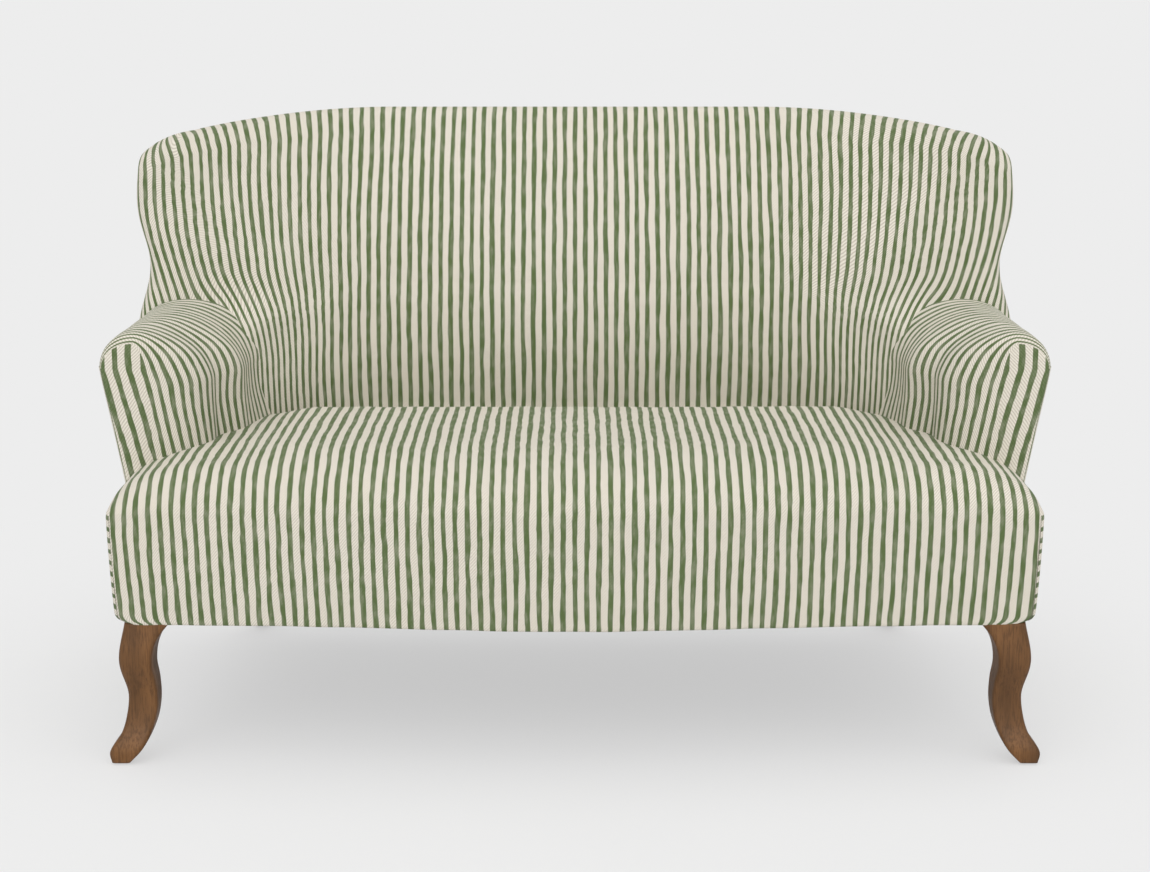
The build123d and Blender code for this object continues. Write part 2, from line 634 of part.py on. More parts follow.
with BuildPart() as seat_hessian:
    with BuildSketch(Plane.XY.offset(HESSIAN_Z)):
        with BuildLine():
            rim = front_line(FRONT_PAD + 2.0, SIDE_RAIL_OUTER - 4.0)
            Polyline(
                rim @ 1,
                (SIDE_RAIL_OUTER - 4.0, at(ARM_FRONT)),
                (SIDE_RAIL_INNER - 28.0, at(ARM_FRONT + 8.0)),
                (SIDE_RAIL_INNER - 60.0, at(LOW_RAIL_FRONT - 14.0)),
                (60.0 - SIDE_RAIL_INNER, at(LOW_RAIL_FRONT - 14.0)),
                (28.0 - SIDE_RAIL_INNER, at(ARM_FRONT + 8.0)),
                (4.0 - SIDE_RAIL_OUTER, at(ARM_FRONT)),
                rim @ 0,
            )
        make_face()
    extrude(amount=SHEET)
keep(seat_hessian, "seat_hessian")


# ================================================================ seat
def seat_outline(x, inset, rear, bottom):
    """Section of the seat's front block at x: bottom, bulged front, roll and top."""
    over = max(abs(x) - END_CENTRE_X, 0.0) / (END_ROLL - inset)
    crown = sqrt(max(1.0 - over**2, 0.0))
    end_height = SEAT_TOP - END_DROP * smooth(over * 3.0) - ROLL_CENTRE_Z - inset
    height = max(end_height * crown, 2.0)
    corner = max(abs(x) - (SEAT_HALF - BOTTOM_CORNER), 0.0) / (BOTTOM_CORNER - inset + 0.001)
    lift = (BOTTOM_CORNER - inset) * (1.0 - sqrt(max(1.0 - min(corner, 1.0) ** 2, 0.0)))
    foremost = bow(x) - FRONT_BULGE + inset
    centre = bow(x) - FRONT_BULGE + FRONT_ROLL_DEPTH
    points = [(rear, bottom + lift), (foremost + 9.0, bottom + lift), (foremost + 3.0, 300.0)]
    for step in range(9):
        turn = pi / 2 * step / 8
        depth = centre - (FRONT_ROLL_DEPTH - inset) * cos(turn)
        points.append((min(depth, rear - 1.0 + step / 10), ROLL_CENTRE_Z + height * sin(turn)))
    points.append((rear, ROLL_CENTRE_Z + height))
    return [(at(depth), z) for depth, z in points]


def seat_front(inset, rear, bottom, longer=0.0):
    """The seat's front block, from end to end, or longer at both ends to cut with."""
    shares = [0.0, 0.35, 0.62, 0.785, 0.86, 0.92, 0.965, 0.99, 1.0]
    right = [(SEAT_HALF - SKIN) * share for share in shares]
    places = [(x, x) for x in right] + [(right[-1] + longer, right[-1])] * (longer > 0)
    faces = []
    for at_x, shape_x in [(-a, b) for a, b in reversed(places[1:])] + places:
        plane = Plane(origin=(at_x, 0, 0), x_dir=(0, 1, 0), z_dir=(1, 0, 0))
        faces.append(face_on(plane, seat_outline(shape_x, inset, rear, bottom)))
    with BuildPart() as block:
        loft(sections=faces, ruled=True)
    return block.part


def seat_rear(inset, bottom):
    """The seat between the arms, up to the back."""
    outline = seat_plan(BACK_BASE_DEPTH - SEAT_GAP, SEAT_GAP)
    with BuildPart() as block:
        with BuildSketch(Plane.XY.offset(bottom)):
            with BuildLine():
                Polyline(*outline, close=True)
            make_face()
        extrude(amount=SEAT_TOP - inset - bottom)
        with BuildSketch(Plane.XY.offset(bottom)):
            with Locations((0, at(ARM_FRONT - SKIN - 100.0))):
                Rectangle(3 * SEAT_HALF, 200.0)
        extrude(amount=SEAT_TOP, mode=Mode.SUBTRACT)
    return block.part


with BuildPart() as seat_foam:
    add(seat_front(SKIN, SEAT_BLOCK_REAR, FRAME_BOTTOM + SKIN))
    with BuildSketch(Plane.XY.offset(FRAME_BOTTOM - 10.0)):
        Rectangle(3 * SEAT_HALF, 3 * SEAT_HALF)
    extrude(amount=FOAM_Z - FRAME_BOTTOM + 10.0, mode=Mode.SUBTRACT)
    add(seat_rear(SKIN, FOAM_Z))
keep(seat_foam, "seat_foam")

with BuildPart() as front_edge_pad:
    add(seat_front(SKIN, SEAT_BLOCK_REAR, FRAME_BOTTOM + SKIN))
    with BuildSketch(Plane.XY.offset(FOAM_Z - TOUCH)):
        Rectangle(3 * SEAT_HALF, 3 * SEAT_HALF)
    extrude(amount=SEAT_TOP, mode=Mode.SUBTRACT)
    with BuildSketch(Plane.XY.offset(FRAME_BOTTOM - 10.0)):
        with BuildLine():
            line = front_line(FRONT_PAD - TOUCH, SIDE_RAIL_OUTER + TOUCH)
            Polyline(
                line @ 1,
                (SIDE_RAIL_OUTER + TOUCH, at(ARM_FRONT + 5.0)),
                (-SIDE_RAIL_OUTER - TOUCH, at(ARM_FRONT + 5.0)),
                line @ 0,
            )
        make_face()
    extrude(amount=SEAT_TOP, mode=Mode.SUBTRACT)
keep(front_edge_pad, "front_edge_pad")

with BuildPart() as seat_cover:
    add(seat_front(0.0, SEAT_BLOCK_REAR, FRAME_BOTTOM))
    add(seat_front(COVER, ARM_FRONT + 20.0, FRAME_BOTTOM - 30.0, longer=10.0), mode=Mode.SUBTRACT)
    add(seat_rear(0.0, SEAT_TOP - COVER))
keep(seat_cover, "seat_cover")


def seat_border(side):
    """Narrow panel on the end of the seat's front block."""
    outline = seat_outline(SEAT_HALF - 12.0, 0.0, SEAT_BLOCK_REAR, FRAME_BOTTOM)
    origin = (side * (SEAT_HALF - SKIN + TOUCH), 0, 0)
    with BuildPart() as border:
        with BuildSketch(Plane(origin=origin, x_dir=(0, 1, 0), z_dir=(side, 0, 0))):
            with BuildLine():
                Polyline(*[(y, side * z) for y, z in outline], close=True)
            make_face()
        extrude(amount=COVER)
    return border


for side, word in ((-1, "left"), (1, "right")):
    keep(seat_border(side), f"{word}_seat_border")

# ================================================================ back
def back_foam_outline(plane, angle):
    """Section of the stuffing: inner face, top roll, seat over the crest rail, straight rear face."""
    top = top_at(plane, angle) - SKIN
    front, rear = crest_reach(angle, top + SKIN)
    high = top + SKIN - CREST_COVERING + TOUCH
    points = inner_line(angle, top, SKIN)
    points.append((rear - 16.0, top))
    points.append((rear + 2.0, top - 10.0))
    points.append((rear + 2.0, high))
    foot, low, crest = stuffing_back(angle, top + SKIN, 0.0, BACK_FOOT_Z)[:3]
    return points + [(crest[0], high), crest, low, foot]


back_foam = around_back(back_foam_outline)
keep(back_foam, "back_foam")


def back_hessian_outline(plane, angle):
    """Section of the sheet behind the back's stuffing."""
    lines = stuffing_back(angle, top_at(plane, angle), TOUCH, LOW_RAIL_BOTTOM)
    return lines + [(reach + SHEET, z) for reach, z in reversed(lines)]


back_hessian = around_back(back_hessian_outline)
keep(back_hessian, "back_hessian")

with BuildPart() as back_webbing:
    for index in range(STRAPS):
        x = STRAP_PITCH * (index - (STRAPS - 1) / 2)
        with BuildSketch(Plane(origin=(x, 0, 0), x_dir=(0, 1, 0), z_dir=(1, 0, 0))):
            lines = stuffing_back(0.0, BACK_TOP, 2 * TOUCH + SHEET, LOW_RAIL_BOTTOM + 8.0)
            front = [(at(CORNER_DEPTH + reach), z) for reach, z in lines]
            with BuildLine():
                Polyline(*front, *[(y + COVER, z) for y, z in reversed(front)], close=True)
            make_face()
        extrude(amount=STRAP_WIDTH / 2, both=True)
keep(back_webbing, "back_webbing")


# ================================================================ arms
def arm_stations():
    """Planes from the facing back into the corner, with the arm's reaches in each."""
    stations = []
    for depth in ARM_DEPTHS:
        reaches = (arm_inner_x(depth), arm_top_x(depth), outer_x(ARM_RAIL_BOTTOM))
        stations.append((depth, 90.0, [reach - CORNER_X for reach in reaches]))
    for angle in CORNER_ANGLES + [BACK_END + SEAM_ANGLE]:
        turn = radians(angle)
        inner = inner_reach(angle, 480.0)
        outer = outer_reach(angle, ARM_RAIL_BOTTOM)
        top = min((arm_top_x(CORNER_DEPTH) - CORNER_X) / sin(turn), inner + ARM_TOP_SHARE * (outer - inner))
        reaches = [inner, top, outer]
        stations.append((CORNER_DEPTH, angle, reaches))
    return stations


def arm_section(depth, angle, reaches, inset, low):
    """Section of the stuffing: inner face, rounded top, lip outside the arm rail."""
    inner, top, outer = reaches
    rise = arm_rise(depth if angle == 90.0 else WING_FRONT)
    rail = outer - 16.0
    points = [(inner + inset, low), (inner + inset, 480.0)]
    points += dome(inner, top, outer, rise, inset)
    points += [(outer - inset, ARM_RAIL_BOTTOM + 2.0), (rail, ARM_RAIL_BOTTOM + 2.0)]
    points += [(rail, ARM_RAIL_TOP + TOUCH), (inner + inset + ARM_STUFFING + 24.0, ARM_RAIL_TOP + TOUCH)]
    points += [(inner + inset + ARM_STUFFING, ARM_RAIL_BOTTOM), (inner + inset + ARM_STUFFING, low)]
    return points


def arm_foam(side):
    """Stuffing inside and over the arm, from the facing's pad into the corner of the back."""
    faces = []
    for depth, angle, reaches in arm_stations():
        points = arm_section(depth, angle, reaches, SKIN, BACK_FOOT_Z)
        faces.append(face_on(ray(side, angle, depth), points))
    with BuildPart() as foam:
        loft(sections=faces, ruled=True)
        add(arm_rail(side).part, mode=Mode.SUBTRACT)
        add(wing_post(side).part, mode=Mode.SUBTRACT)
    return foam


def facing_outline(inset):
    """Outline of the arm's facing, from the seat up and over the arm's top."""
    inner = arm_inner_x(ARM_FRONT)
    points = [(inner + inset, ROLL_CENTRE_Z - 60.0)]
    points += dome(inner, ARM_TOP_FRONT_X, outer_x(ARM_LEVEL), ARM_RISE_FRONT - 14.0, inset)
    points += [(outer_x(z) - inset, z) for z in (ARM_LEVEL, 500.0, ROLL_CENTRE_Z, ROLL_CENTRE_Z - 60.0)]
    return points


def facing_layer(side, front, thickness, inset):
    """A flat layer at the front of the arm."""
    with BuildPart() as layer:
        with BuildSketch(Plane.XZ.offset(-at(front + thickness))):
            with BuildLine():
                Polyline(*[(side * x, z) for x, z in facing_outline(inset)], close=True)
            make_face()
        extrude(amount=thickness)
    return layer


for side, word in ((-1, "left"), (1, "right")):
    keep(arm_foam(side), f"{word}_arm_foam")
    keep(facing_layer(side, ARM_FRONT + SKIN, FACING_PAD, SKIN + SLACK), f"{word}_facing_pad")
    keep(facing_layer(side, ARM_FRONT, COVER, 0.0), f"{word}_arm_facing")


# ================================================================ wings
def nose_depth(z):
    """Depth of the wing's front edge at height z."""
    return WING_FRONT + WING_LEAN * (z - WING_FOOT)


def nose_inner_x(z):
    """Inner end of the wing's front edge."""
    return WING_INNER_X + WING_SPREAD * (z - WING_FOOT)


def wing_plane(side, ahead):
    """Plane of the wing's front edge, leaning back with it, moved ahead."""
    origin = Vector(0, at(nose_depth(0.0) - ahead), 0)
    up = Vector(0, WING_LEAN, 1).normalized()
    across = Vector(side, 0, 0)
    return Plane(origin=origin, x_dir=across, z_dir=across.cross(up))


def wing_stations(side, inset):
    """Planes from the back's end to the wing's front edge, with inner and outer reach and top in each."""
    start = BACK_END + SEAM_ANGLE
    stations = [
        (ray(side, start), 1.0, lambda z: inner_reach(start, z), lambda z: outer_reach(start, z),
         top_at(ray(1, start), start))
    ]
    for behind, shrink in ((18.0, 0.0), (5.0, 5.0), (0.0, 13.0)):
        stations.append(
            (wing_plane(side, -behind - inset), sqrt(1.0 + WING_LEAN**2),
             lambda z, s=shrink: nose_inner_x(z) + s, lambda z, s=shrink: outer_x(z) - s, WING_TOP)
        )
    return stations


def wing_points(inner, outer, top, inset, low, steps=6):
    """Section of a wing: inner face, rounded top, outer face."""
    spring = top - WING_ROLL
    points = []
    for step in range(steps + 1):
        z = low + (spring - low) * step / steps
        points.append((inner(z) + inset, z))
    last = points[-1][0]
    width = outer(spring) - inset - last
    for share, rise in ((0.08, 0.5), (0.22, 0.86), (0.42, 1.0), (0.7, 0.9), (0.92, 0.5)):
        points.append((last + width * share, spring + (WING_ROLL - inset) * rise))
    points.append((outer(spring) - inset, spring - 4.0))
    points.append((outer(low) - inset, low))
    return points


def wing_solid(side, inset, low=WING_FOOT):
    """A wing, from where the back's stuffing ends to its rounded front edge."""
    faces = []
    for plane, lean, inner, outer, top in wing_stations(side, inset):
        outline = wing_points(inner, outer, top, inset, low)
        faces.append(face_on(plane, [(x, z * lean) for x, z in outline]))
    with BuildPart() as wing:
        loft(sections=faces, ruled=True)
    return wing.part


def wing_foam(side):
    """Stuffing of a wing, fitted round its post, the crest rail's end and the arm rail."""
    with BuildPart() as foam:
        add(wing_solid(side, SKIN + SLACK))
        add(wing_post(side).part, mode=Mode.SUBTRACT)
        add(crest_rail.part, mode=Mode.SUBTRACT)
    return foam


for side, word in ((-1, "left"), (1, "right")):
    keep(wing_foam(side), f"{word}_wing_foam")


# ================================================================ covers of the back
def back_cover_outline(plane, angle):
    """Section of the inside back's cover: a strip up the face and over the top edge."""
    top = top_at(plane, angle)
    rear = crest_reach(angle, top)[1]
    outer = inner_line(angle, top, 0.0)
    outer += [(rear - 15.0, top), (rear + 4.0, top - 9.0), (rear + 4.0, top - COVER_EDGE)]
    inner = inner_line(angle, top - COVER, COVER)
    inner += [(rear - 15.8, top - COVER), (rear + 2.5, top - 11.0), (rear + 2.5, top - COVER_EDGE)]
    return outer + list(reversed(inner))


inside_back_cover = around_back(back_cover_outline)
keep(inside_back_cover, "inside_back_cover")


def panel_strip(reach, levels):
    """Section of an outside panel hanging in the outer face."""
    outer = [(reach(z), z) for z in levels]
    return outer + [(r - COVER, z) for r, z in reversed(outer)]


def levels_between(low, high, steps):
    """Heights at which the outer face's curve is followed."""
    return [low + (high - low) * step / steps for step in range(steps + 1)]


def outside_back_outline(plane, angle):
    """Section of the outside back."""
    high = top_at(plane, angle) - COVER_EDGE - TOUCH
    return panel_strip(lambda z: outer_reach(angle, z), [FRAME_BOTTOM, high])


outside_back_cover = around_back(outside_back_outline, angles=[PANEL_SEAM, 37.0, 30.0, 13.0])
keep(outside_back_cover, "outside_back_cover")


def outside_panel(side, angles, low, high, steps):
    """Outside arm or wing panel, from the rear seam forward."""
    faces = []
    for angle in angles:
        top = high(angle)
        outline = panel_strip(lambda z: outer_reach(angle, z), levels_between(low, top, steps))
        faces.append(face_on(ray(side, angle), outline))
    if high(90.0) == ARM_PANEL_TOP:
        outline = panel_strip(lambda z: outer_x(z) - CORNER_X, levels_between(low, high(90.0), steps))
        faces.append(face_on(ray(side, 90.0, ARM_DEPTHS[-1]), outline))
        faces.append(face_on(ray(side, 90.0, ARM_FRONT + COVER + TOUCH), outline))
    with BuildPart() as panel:
        loft(sections=faces, ruled=True)
    return panel


def wing_panel_top(angle):
    """Upper edge of the outside wing."""
    return top_at(ray(1, angle), angle) - COVER_EDGE - TOUCH


for side, word in ((-1, "left"), (1, "right")):
    arm_panel = outside_panel(side, PANEL_ANGLES, FRAME_BOTTOM, lambda a: ARM_PANEL_TOP, 4)
    keep(arm_panel, f"{word}_outside_arm_cover")


def wing_side(side, inward, outward, low, gap):
    """A slab in the outer face of a wing, from the back's end to short of its front edge."""
    faces = []
    for plane, lean, inner, outer, top in wing_stations(side, 0.0)[:2]:
        high = top - COVER_EDGE - gap
        levels = [low, high]
        near = [(outer(z) + outward, z * lean) for z in levels]
        far = [(outer(z) - inward, z * lean) for z in reversed(levels)]
        faces.append(face_on(plane, near + far))
    with BuildPart() as slab:
        loft(sections=faces, ruled=True)
    return slab.part


def wing_cover(side):
    """Cover of a wing: a skin over its inner face, its front edge and its top."""
    with BuildPart() as cover:
        add(wing_solid(side, 0.0))
        add(wing_solid(side, COVER, low=WING_FOOT - 20.0), mode=Mode.SUBTRACT)
        add(wing_side(side, COVER + TOUCH, 10.0, WING_FOOT - 20.0, 0.0), mode=Mode.SUBTRACT)
    return cover


def arm_cover(side):
    """Cover of the arm: a skin up its inner face and over its rounded top."""
    faces = []
    for depth, angle, reaches in arm_stations():
        inner, top, outer = reaches
        rise = arm_rise(depth if angle == 90.0 else WING_FRONT)
        skin = [(inner, BACK_FOOT_Z)] + dome(inner, top, outer, rise, 0.0)
        lining = [(inner + COVER, BACK_FOOT_Z)] + dome(inner, top, outer, rise, COVER)
        faces.append(face_on(ray(side, angle, depth), skin + list(reversed(lining))))
    with BuildPart() as cover:
        loft(sections=faces, ruled=True)
        add(wing_post(side).part, mode=Mode.SUBTRACT)
    return cover


def wing_panel(side):
    """Outside wing panel, from the rear seam to short of the wing's front edge."""
    with BuildPart() as panel:
        add(outside_panel(side, [SIDE_SEAM, BACK_END + SEAM_ANGLE], WING_FOOT, wing_panel_top, 1).part)
        add(wing_side(side, COVER, 0.0, WING_FOOT, TOUCH))
    return panel


for side, word in ((-1, "left"), (1, "right")):
    keep(arm_cover(side), f"{word}_inside_arm_cover")
    keep(wing_cover(side), f"{word}_inside_wing_cover")
    keep(wing_panel(side), f"{word}_outside_wing_cover")

# ================================================================ underside and legs
BOLT_PLACES = [(s * LEG_X, at(LEG_DEPTH)) for s in (-1, 1)]
BOLT_PLACES += [(s * REAR_LEG_X, at(REAR_LEG_DEPTH)) for s in (-1, 1)]

with BuildPart() as dust_cover:
    with BuildSketch(Plane.XY.offset(DUST_Z)):
        with BuildLine():
            edge = front_line(DUST_FRONT_EDGE, BASE_OUTER_X - DUST_FRONT_EDGE)
            rim = []
            for angle in (90.0, 75.0, 60.0, 52.0, 46.0, 42.0, 35.0, 20.0, 0.0):
                reach = outer_reach(angle, FRAME_BOTTOM) - DUST_EDGE
                turn = radians(angle)
                rim.append((CORNER_X + reach * sin(turn), at(CORNER_DEPTH + reach * cos(turn))))
            Polyline(edge @ 1, *rim, *[(-x, y) for x, y in reversed(rim)], edge @ 0)
        make_face()
        with Locations(*BOLT_PLACES):
            Circle(BOLT_RADIUS + 1.0, mode=Mode.SUBTRACT)
    extrude(amount=SHEET)
keep(dust_cover, "dust_cover")

with BuildPart() as leg_bolts:
    with Locations(*[(x, y, RAIL_BOTTOM) for x, y in BOLT_PLACES]):
        Cylinder(BOLT_RADIUS, BOLT_LENGTH)
keep(leg_bolts, "leg_bolts")

with BuildPart() as leg_inserts:
    with BuildSketch(Plane.XY.offset(INSERT_TOP - INSERT_LENGTH)):
        with Locations(*BOLT_PLACES):
            Circle(INSERT_RADIUS)
            Circle(BOLT_RADIUS + BORE_CLEARANCE, mode=Mode.SUBTRACT)
    extrude(amount=INSERT_LENGTH)
keep(leg_inserts, "leg_inserts")


def drill_leg(x, depth, foot_x, foot_depth):
    """Bores for the insert and the bolt in a leg's top and for the glide's pin in its foot."""
    with Locations((x, at(depth), LEG_TOP - INSERT_LENGTH / 2)):
        Cylinder(INSERT_RADIUS + BORE_CLEARANCE, INSERT_LENGTH + 2 * BORE_END, mode=Mode.SUBTRACT)
    with Locations((x, at(depth), RAIL_BOTTOM)):
        Cylinder(BOLT_RADIUS + BORE_CLEARANCE, BOLT_LENGTH + 2 * BORE_END, mode=Mode.SUBTRACT)
    with Locations((foot_x, at(foot_depth), FOOT_Z + PIN_LENGTH / 2)):
        Cylinder(PIN_RADIUS + PIN_FIT, PIN_LENGTH + 4 * PIN_FIT, mode=Mode.SUBTRACT)


def front_leg(side):
    """Sawn cabriole leg: knee outwards, ankle in, foot kicked out and forwards."""
    outer = [(693, LEG_TOP), (704, 168), (692, 103), (695, 78), (703, 50), (724, 14), (721, FOOT_Z)]
    inner = [(695, FOOT_Z), (672, 24), (653, 55), (641, 105), (646, 165), (636, 202), (623, LEG_TOP)]
    front = [(40, LEG_TOP), (34, 165), (46, 100), (40, 50), (27, 14), (28, FOOT_Z)]
    back = [(56, FOOT_Z), (60, 20), (80, 55), (91, 100), (98, 165), (104, LEG_TOP)]
    with BuildPart() as leg:
        with BuildSketch(Plane.XZ):
            with BuildLine():
                first = Spline(*[(side * x, z) for x, z in outer])
                second = Spline(*[(side * x, z) for x, z in inner])
                Line(first @ 1, second @ 0)
                Line(second @ 1, first @ 0)
            make_face()
        extrude(amount=HALF_DEPTH)
        with BuildSketch(Plane.YZ.offset(side * 600.0)):
            with BuildLine():
                first = Spline(*[(at(depth), z) for depth, z in front])
                second = Spline(*[(at(depth), z) for depth, z in back])
                Line(first @ 1, second @ 0)
                Line(second @ 1, first @ 0)
            make_face()
        extrude(amount=side * 150.0, mode=Mode.INTERSECT)
        drill_leg(side * LEG_X, LEG_DEPTH, side * FRONT_FOOT_X, FRONT_FOOT_DEPTH)
    return leg


def rear_leg(side):
    """Square leg that tapers and sweeps backwards."""
    sections = [(LEG_TOP, 0.0, REAR_LEG_TOP), (130.0, 0.22, 42.0), (60.0, 0.6, 35.0)]
    sections.append((FOOT_Z, 1.0, REAR_FOOT))
    with BuildPart() as leg:
        for z, share, size in sections:
            x = REAR_LEG_X + (REAR_FOOT_X - REAR_LEG_X) * share
            with BuildSketch(Plane.XY.offset(z)):
                with Locations((side * x, at(REAR_LEG_DEPTH + REAR_LEG_RAKE * share))):
                    Rectangle(size, size)
        loft()
        drill_leg(side * REAR_LEG_X, REAR_LEG_DEPTH, side * REAR_FOOT_X, REAR_FOOT_DEPTH)
    return leg


for side, word in ((-1, "left"), (1, "right")):
    keep(front_leg(side), f"front_{word}_leg")
    keep(rear_leg(side), f"rear_{word}_leg")

with BuildPart() as leg_glides:
    feet = [(s * FRONT_FOOT_X, at(FRONT_FOOT_DEPTH)) for s in (-1, 1)]
    feet += [(s * REAR_FOOT_X, at(REAR_FOOT_DEPTH)) for s in (-1, 1)]
    with BuildSketch():
        with Locations(*feet):
            Circle(GLIDE_RADIUS)
    extrude(amount=GLIDE_HEIGHT)
    with BuildSketch():
        with Locations(*feet):
            Circle(PIN_RADIUS)
    extrude(amount=GLIDE_HEIGHT + PIN_LENGTH)
keep(leg_glides, "leg_glides")
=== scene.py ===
from math import pi, radians

import bpy
import numpy as np
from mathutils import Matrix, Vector


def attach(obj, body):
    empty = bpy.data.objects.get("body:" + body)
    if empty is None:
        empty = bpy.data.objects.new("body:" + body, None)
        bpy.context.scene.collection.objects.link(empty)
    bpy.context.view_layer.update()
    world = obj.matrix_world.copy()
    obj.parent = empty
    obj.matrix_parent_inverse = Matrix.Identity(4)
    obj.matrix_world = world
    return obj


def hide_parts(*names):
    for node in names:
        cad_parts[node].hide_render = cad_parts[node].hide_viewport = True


bl_info = {
    "name": "High back settee",
    "version": (1, 0, 0),
    "blender": (4, 5, 0),
    "location": "3D View > Sidebar > Settee",
    "description": "Striped covers, show wood and stuffed forms of a high back settee, "
                   "built on its frame",
    "category": "Add Mesh",
}

# Everything is in metres, in the frame's own space: +X to the right as seen from the front,
# +Y to the back, +Z up. A "depth" is measured backwards from the middle of the seat's front.
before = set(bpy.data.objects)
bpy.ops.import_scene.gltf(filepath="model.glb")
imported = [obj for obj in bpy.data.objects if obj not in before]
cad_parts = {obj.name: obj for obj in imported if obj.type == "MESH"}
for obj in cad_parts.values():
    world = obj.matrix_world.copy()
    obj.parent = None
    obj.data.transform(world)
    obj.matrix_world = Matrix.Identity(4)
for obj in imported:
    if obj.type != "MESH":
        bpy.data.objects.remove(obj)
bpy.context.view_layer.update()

SIDES = (("left", -1), ("right", 1))
FRONT_Y = -0.391  # where depth 0 lies
FRAME_BOTTOM = 0.225
BACK_TOP = 0.985
PANEL_FOOT = FRAME_BOTTOM + 0.002  # lower edge of the outside panels

# seat's front line
BOW_DEPTH = 0.035  # how far its ends lie behind its middle
BOW_REACH = 0.36  # half width of its bell

# inside back
BACK_FOOT = 0.537  # depth of its flat middle at the seat
LUMBAR_SWELL = 0.011
LUMBAR_FOOT = 0.477
LUMBAR_HEIGHT = 0.210
LEAN_START = 0.650  # height from which it leans back
BACK_LEAN = 0.171  # how far it leans by its top
CORNER_X = 0.330  # centre of its rounded corners
CORNER_DEPTH = 0.322
CORNER_RADIUS = 0.215  # of the corners at the seat
CORNER_FLARE = 0.340  # how much larger they are at the top
CREST = BACK_TOP - 0.004  # top of the cover in the middle
CREST_FALL = 0.050  # how much lower it is at the wings
CREST_LEVEL = 0.330  # half width of its level middle
CREST_REACH = 0.415  # from there to the wing's outer face

# outer face
REAR_FOOT = 0.716  # depth of the outside back at the base
REAR_LEAN = 0.050  # how much deeper it is at the top
BASE_HALF = 0.692  # half the width at the base
ARM_FLARE = 0.060  # how much more it is at the arm
WAIST = 0.023  # how much less between arm and wing
WAIST_Z = 0.720
WAIST_HEIGHT = 0.070
WING_FLARE = 0.005  # how much more at the wing
WING_FOOT = 0.668
NOSE_FOOT = 0.455  # depth of the wing's front edge at its foot
NOSE_RAKE = 0.19  # how far that edge runs back for each unit up

# arm
ARM_FRONT = 0.180
ARM_LEVEL = 0.570
ARM_INNER = 0.580  # half width between the arms behind the facings
ARM_TOE = 0.035  # how far the arm's inner face toes in by the corner
CORNER_TOE = 0.0285  # and from there to its seam
SEAM_TUCK = 0.0025  # how far it stands before the inside back at the seam
ARM_SEAM = 0.430  # depth of the seam between the inside arm and the inside back
FACING_ROUND = 0.075  # rounding of the inner face behind the facing


# ---- shape helpers
def unit(value):
    """The value, held between 0 and 1."""
    return np.clip(value, 0.0, 1.0)


def smooth(value):
    """Ease from 0 to 1, flat at both ends: 3t^2 - 2t^3."""
    value = unit(value)
    return value * value * (3.0 - 2.0 * value)


def mix(first, second, share):
    """Straight blend of two values."""
    return first + (second - first) * share


def rounding(reach, radius):
    """How far a quarter circle lies inside its corner, at a reach into it: r - sqrt(r^2 - t^2)."""
    return radius - np.sqrt(np.clip(radius**2 - np.clip(reach, 0, radius) ** 2, 0, None))


def cubic(p0, m0, p1, m1, t):
    """Hermite curve between two points with the given end slopes."""
    a = 2 * t**3 - 3 * t**2 + 1
    b = t**3 - 2 * t**2 + t
    c = -2 * t**3 + 3 * t**2
    d = t**3 - t**2
    return a * p0 + b * m0 + c * p1 + d * m1


def bow(x):
    """Depth of the seat's front line at x: a bell, foremost at the middle."""
    return BOW_DEPTH * (1.0 - np.exp(-((x / BOW_REACH) ** 2)))


def back_depth(z):
    """Depth of the inside back's flat middle at height z: a lumbar swell, then leaning back."""
    swell = -LUMBAR_SWELL * np.sin(pi * unit((z - LUMBAR_FOOT) / LUMBAR_HEIGHT))
    rise = np.maximum(z - LEAN_START, 0.0) / (BACK_TOP - LEAN_START)
    return BACK_FOOT + swell + BACK_LEAN * rise**1.55


def rear_depth(z):
    """Depth of the outside back at height z."""
    return REAR_FOOT + REAR_LEAN * (z - FRAME_BOTTOM) / (BACK_TOP - FRAME_BOTTOM)


def corner_radius(z):
    """Radius of the inside back's corners at height z."""
    return CORNER_RADIUS + CORNER_FLARE * smooth((z - 0.490) / 0.400)


def outer_x(z):
    """Half the width of the outer face at height z: out to the arm, a waist, then the wing."""
    flare = unit((z - FRAME_BOTTOM) / (ARM_LEVEL + 0.040 - FRAME_BOTTOM))
    waist = WAIST * np.exp(-(((z - WAIST_Z) / WAIST_HEIGHT) ** 2))
    wing = WING_FLARE * smooth((z - 0.740) / 0.100)
    return BASE_HALF + ARM_FLARE * flare**1.3 - waist + wing


def corner_power(z):
    """Squareness of the outer face's rear corner at height z: boxy at the base, rounder above."""
    return 10.0 - 7.25 * unit((z - FRAME_BOTTOM) / (BACK_TOP - FRAME_BOTTOM))


def nose_depth(z):
    """Depth of the wing's front edge at height z."""
    return NOSE_FOOT + NOSE_RAKE * (z - WING_FOOT)


def back_top(x):
    """Height of the back's top edge at x."""
    return CREST - CREST_FALL * (np.maximum(np.abs(x) - CREST_LEVEL, 0.0) / CREST_REACH) ** 1.85


def arm_inner_x(depth):
    """Inner face of the arm at a depth: rounded off at the facing, then toeing in."""
    meet = ARM_FRONT + FACING_ROUND
    rounded = ARM_INNER + rounding(meet - depth, FACING_ROUND)
    toed = rounded - ARM_TOE * smooth((depth - meet) / (CORNER_DEPTH - meet))
    past = np.clip((depth - CORNER_DEPTH) / (ARM_SEAM - CORNER_DEPTH), 0.0, None)
    return toed - CORNER_TOE * past**1.2 - SEAM_TUCK * smooth((depth - 0.30) / 0.03)


def run_lengths(points, axis):
    """Length walked along a grid's rows or columns, from its first point."""
    step = np.linalg.norm(np.diff(points, axis=axis), axis=2)
    return np.concatenate([np.zeros_like(np.take(step, [0], axis)), np.cumsum(step, axis)], axis)


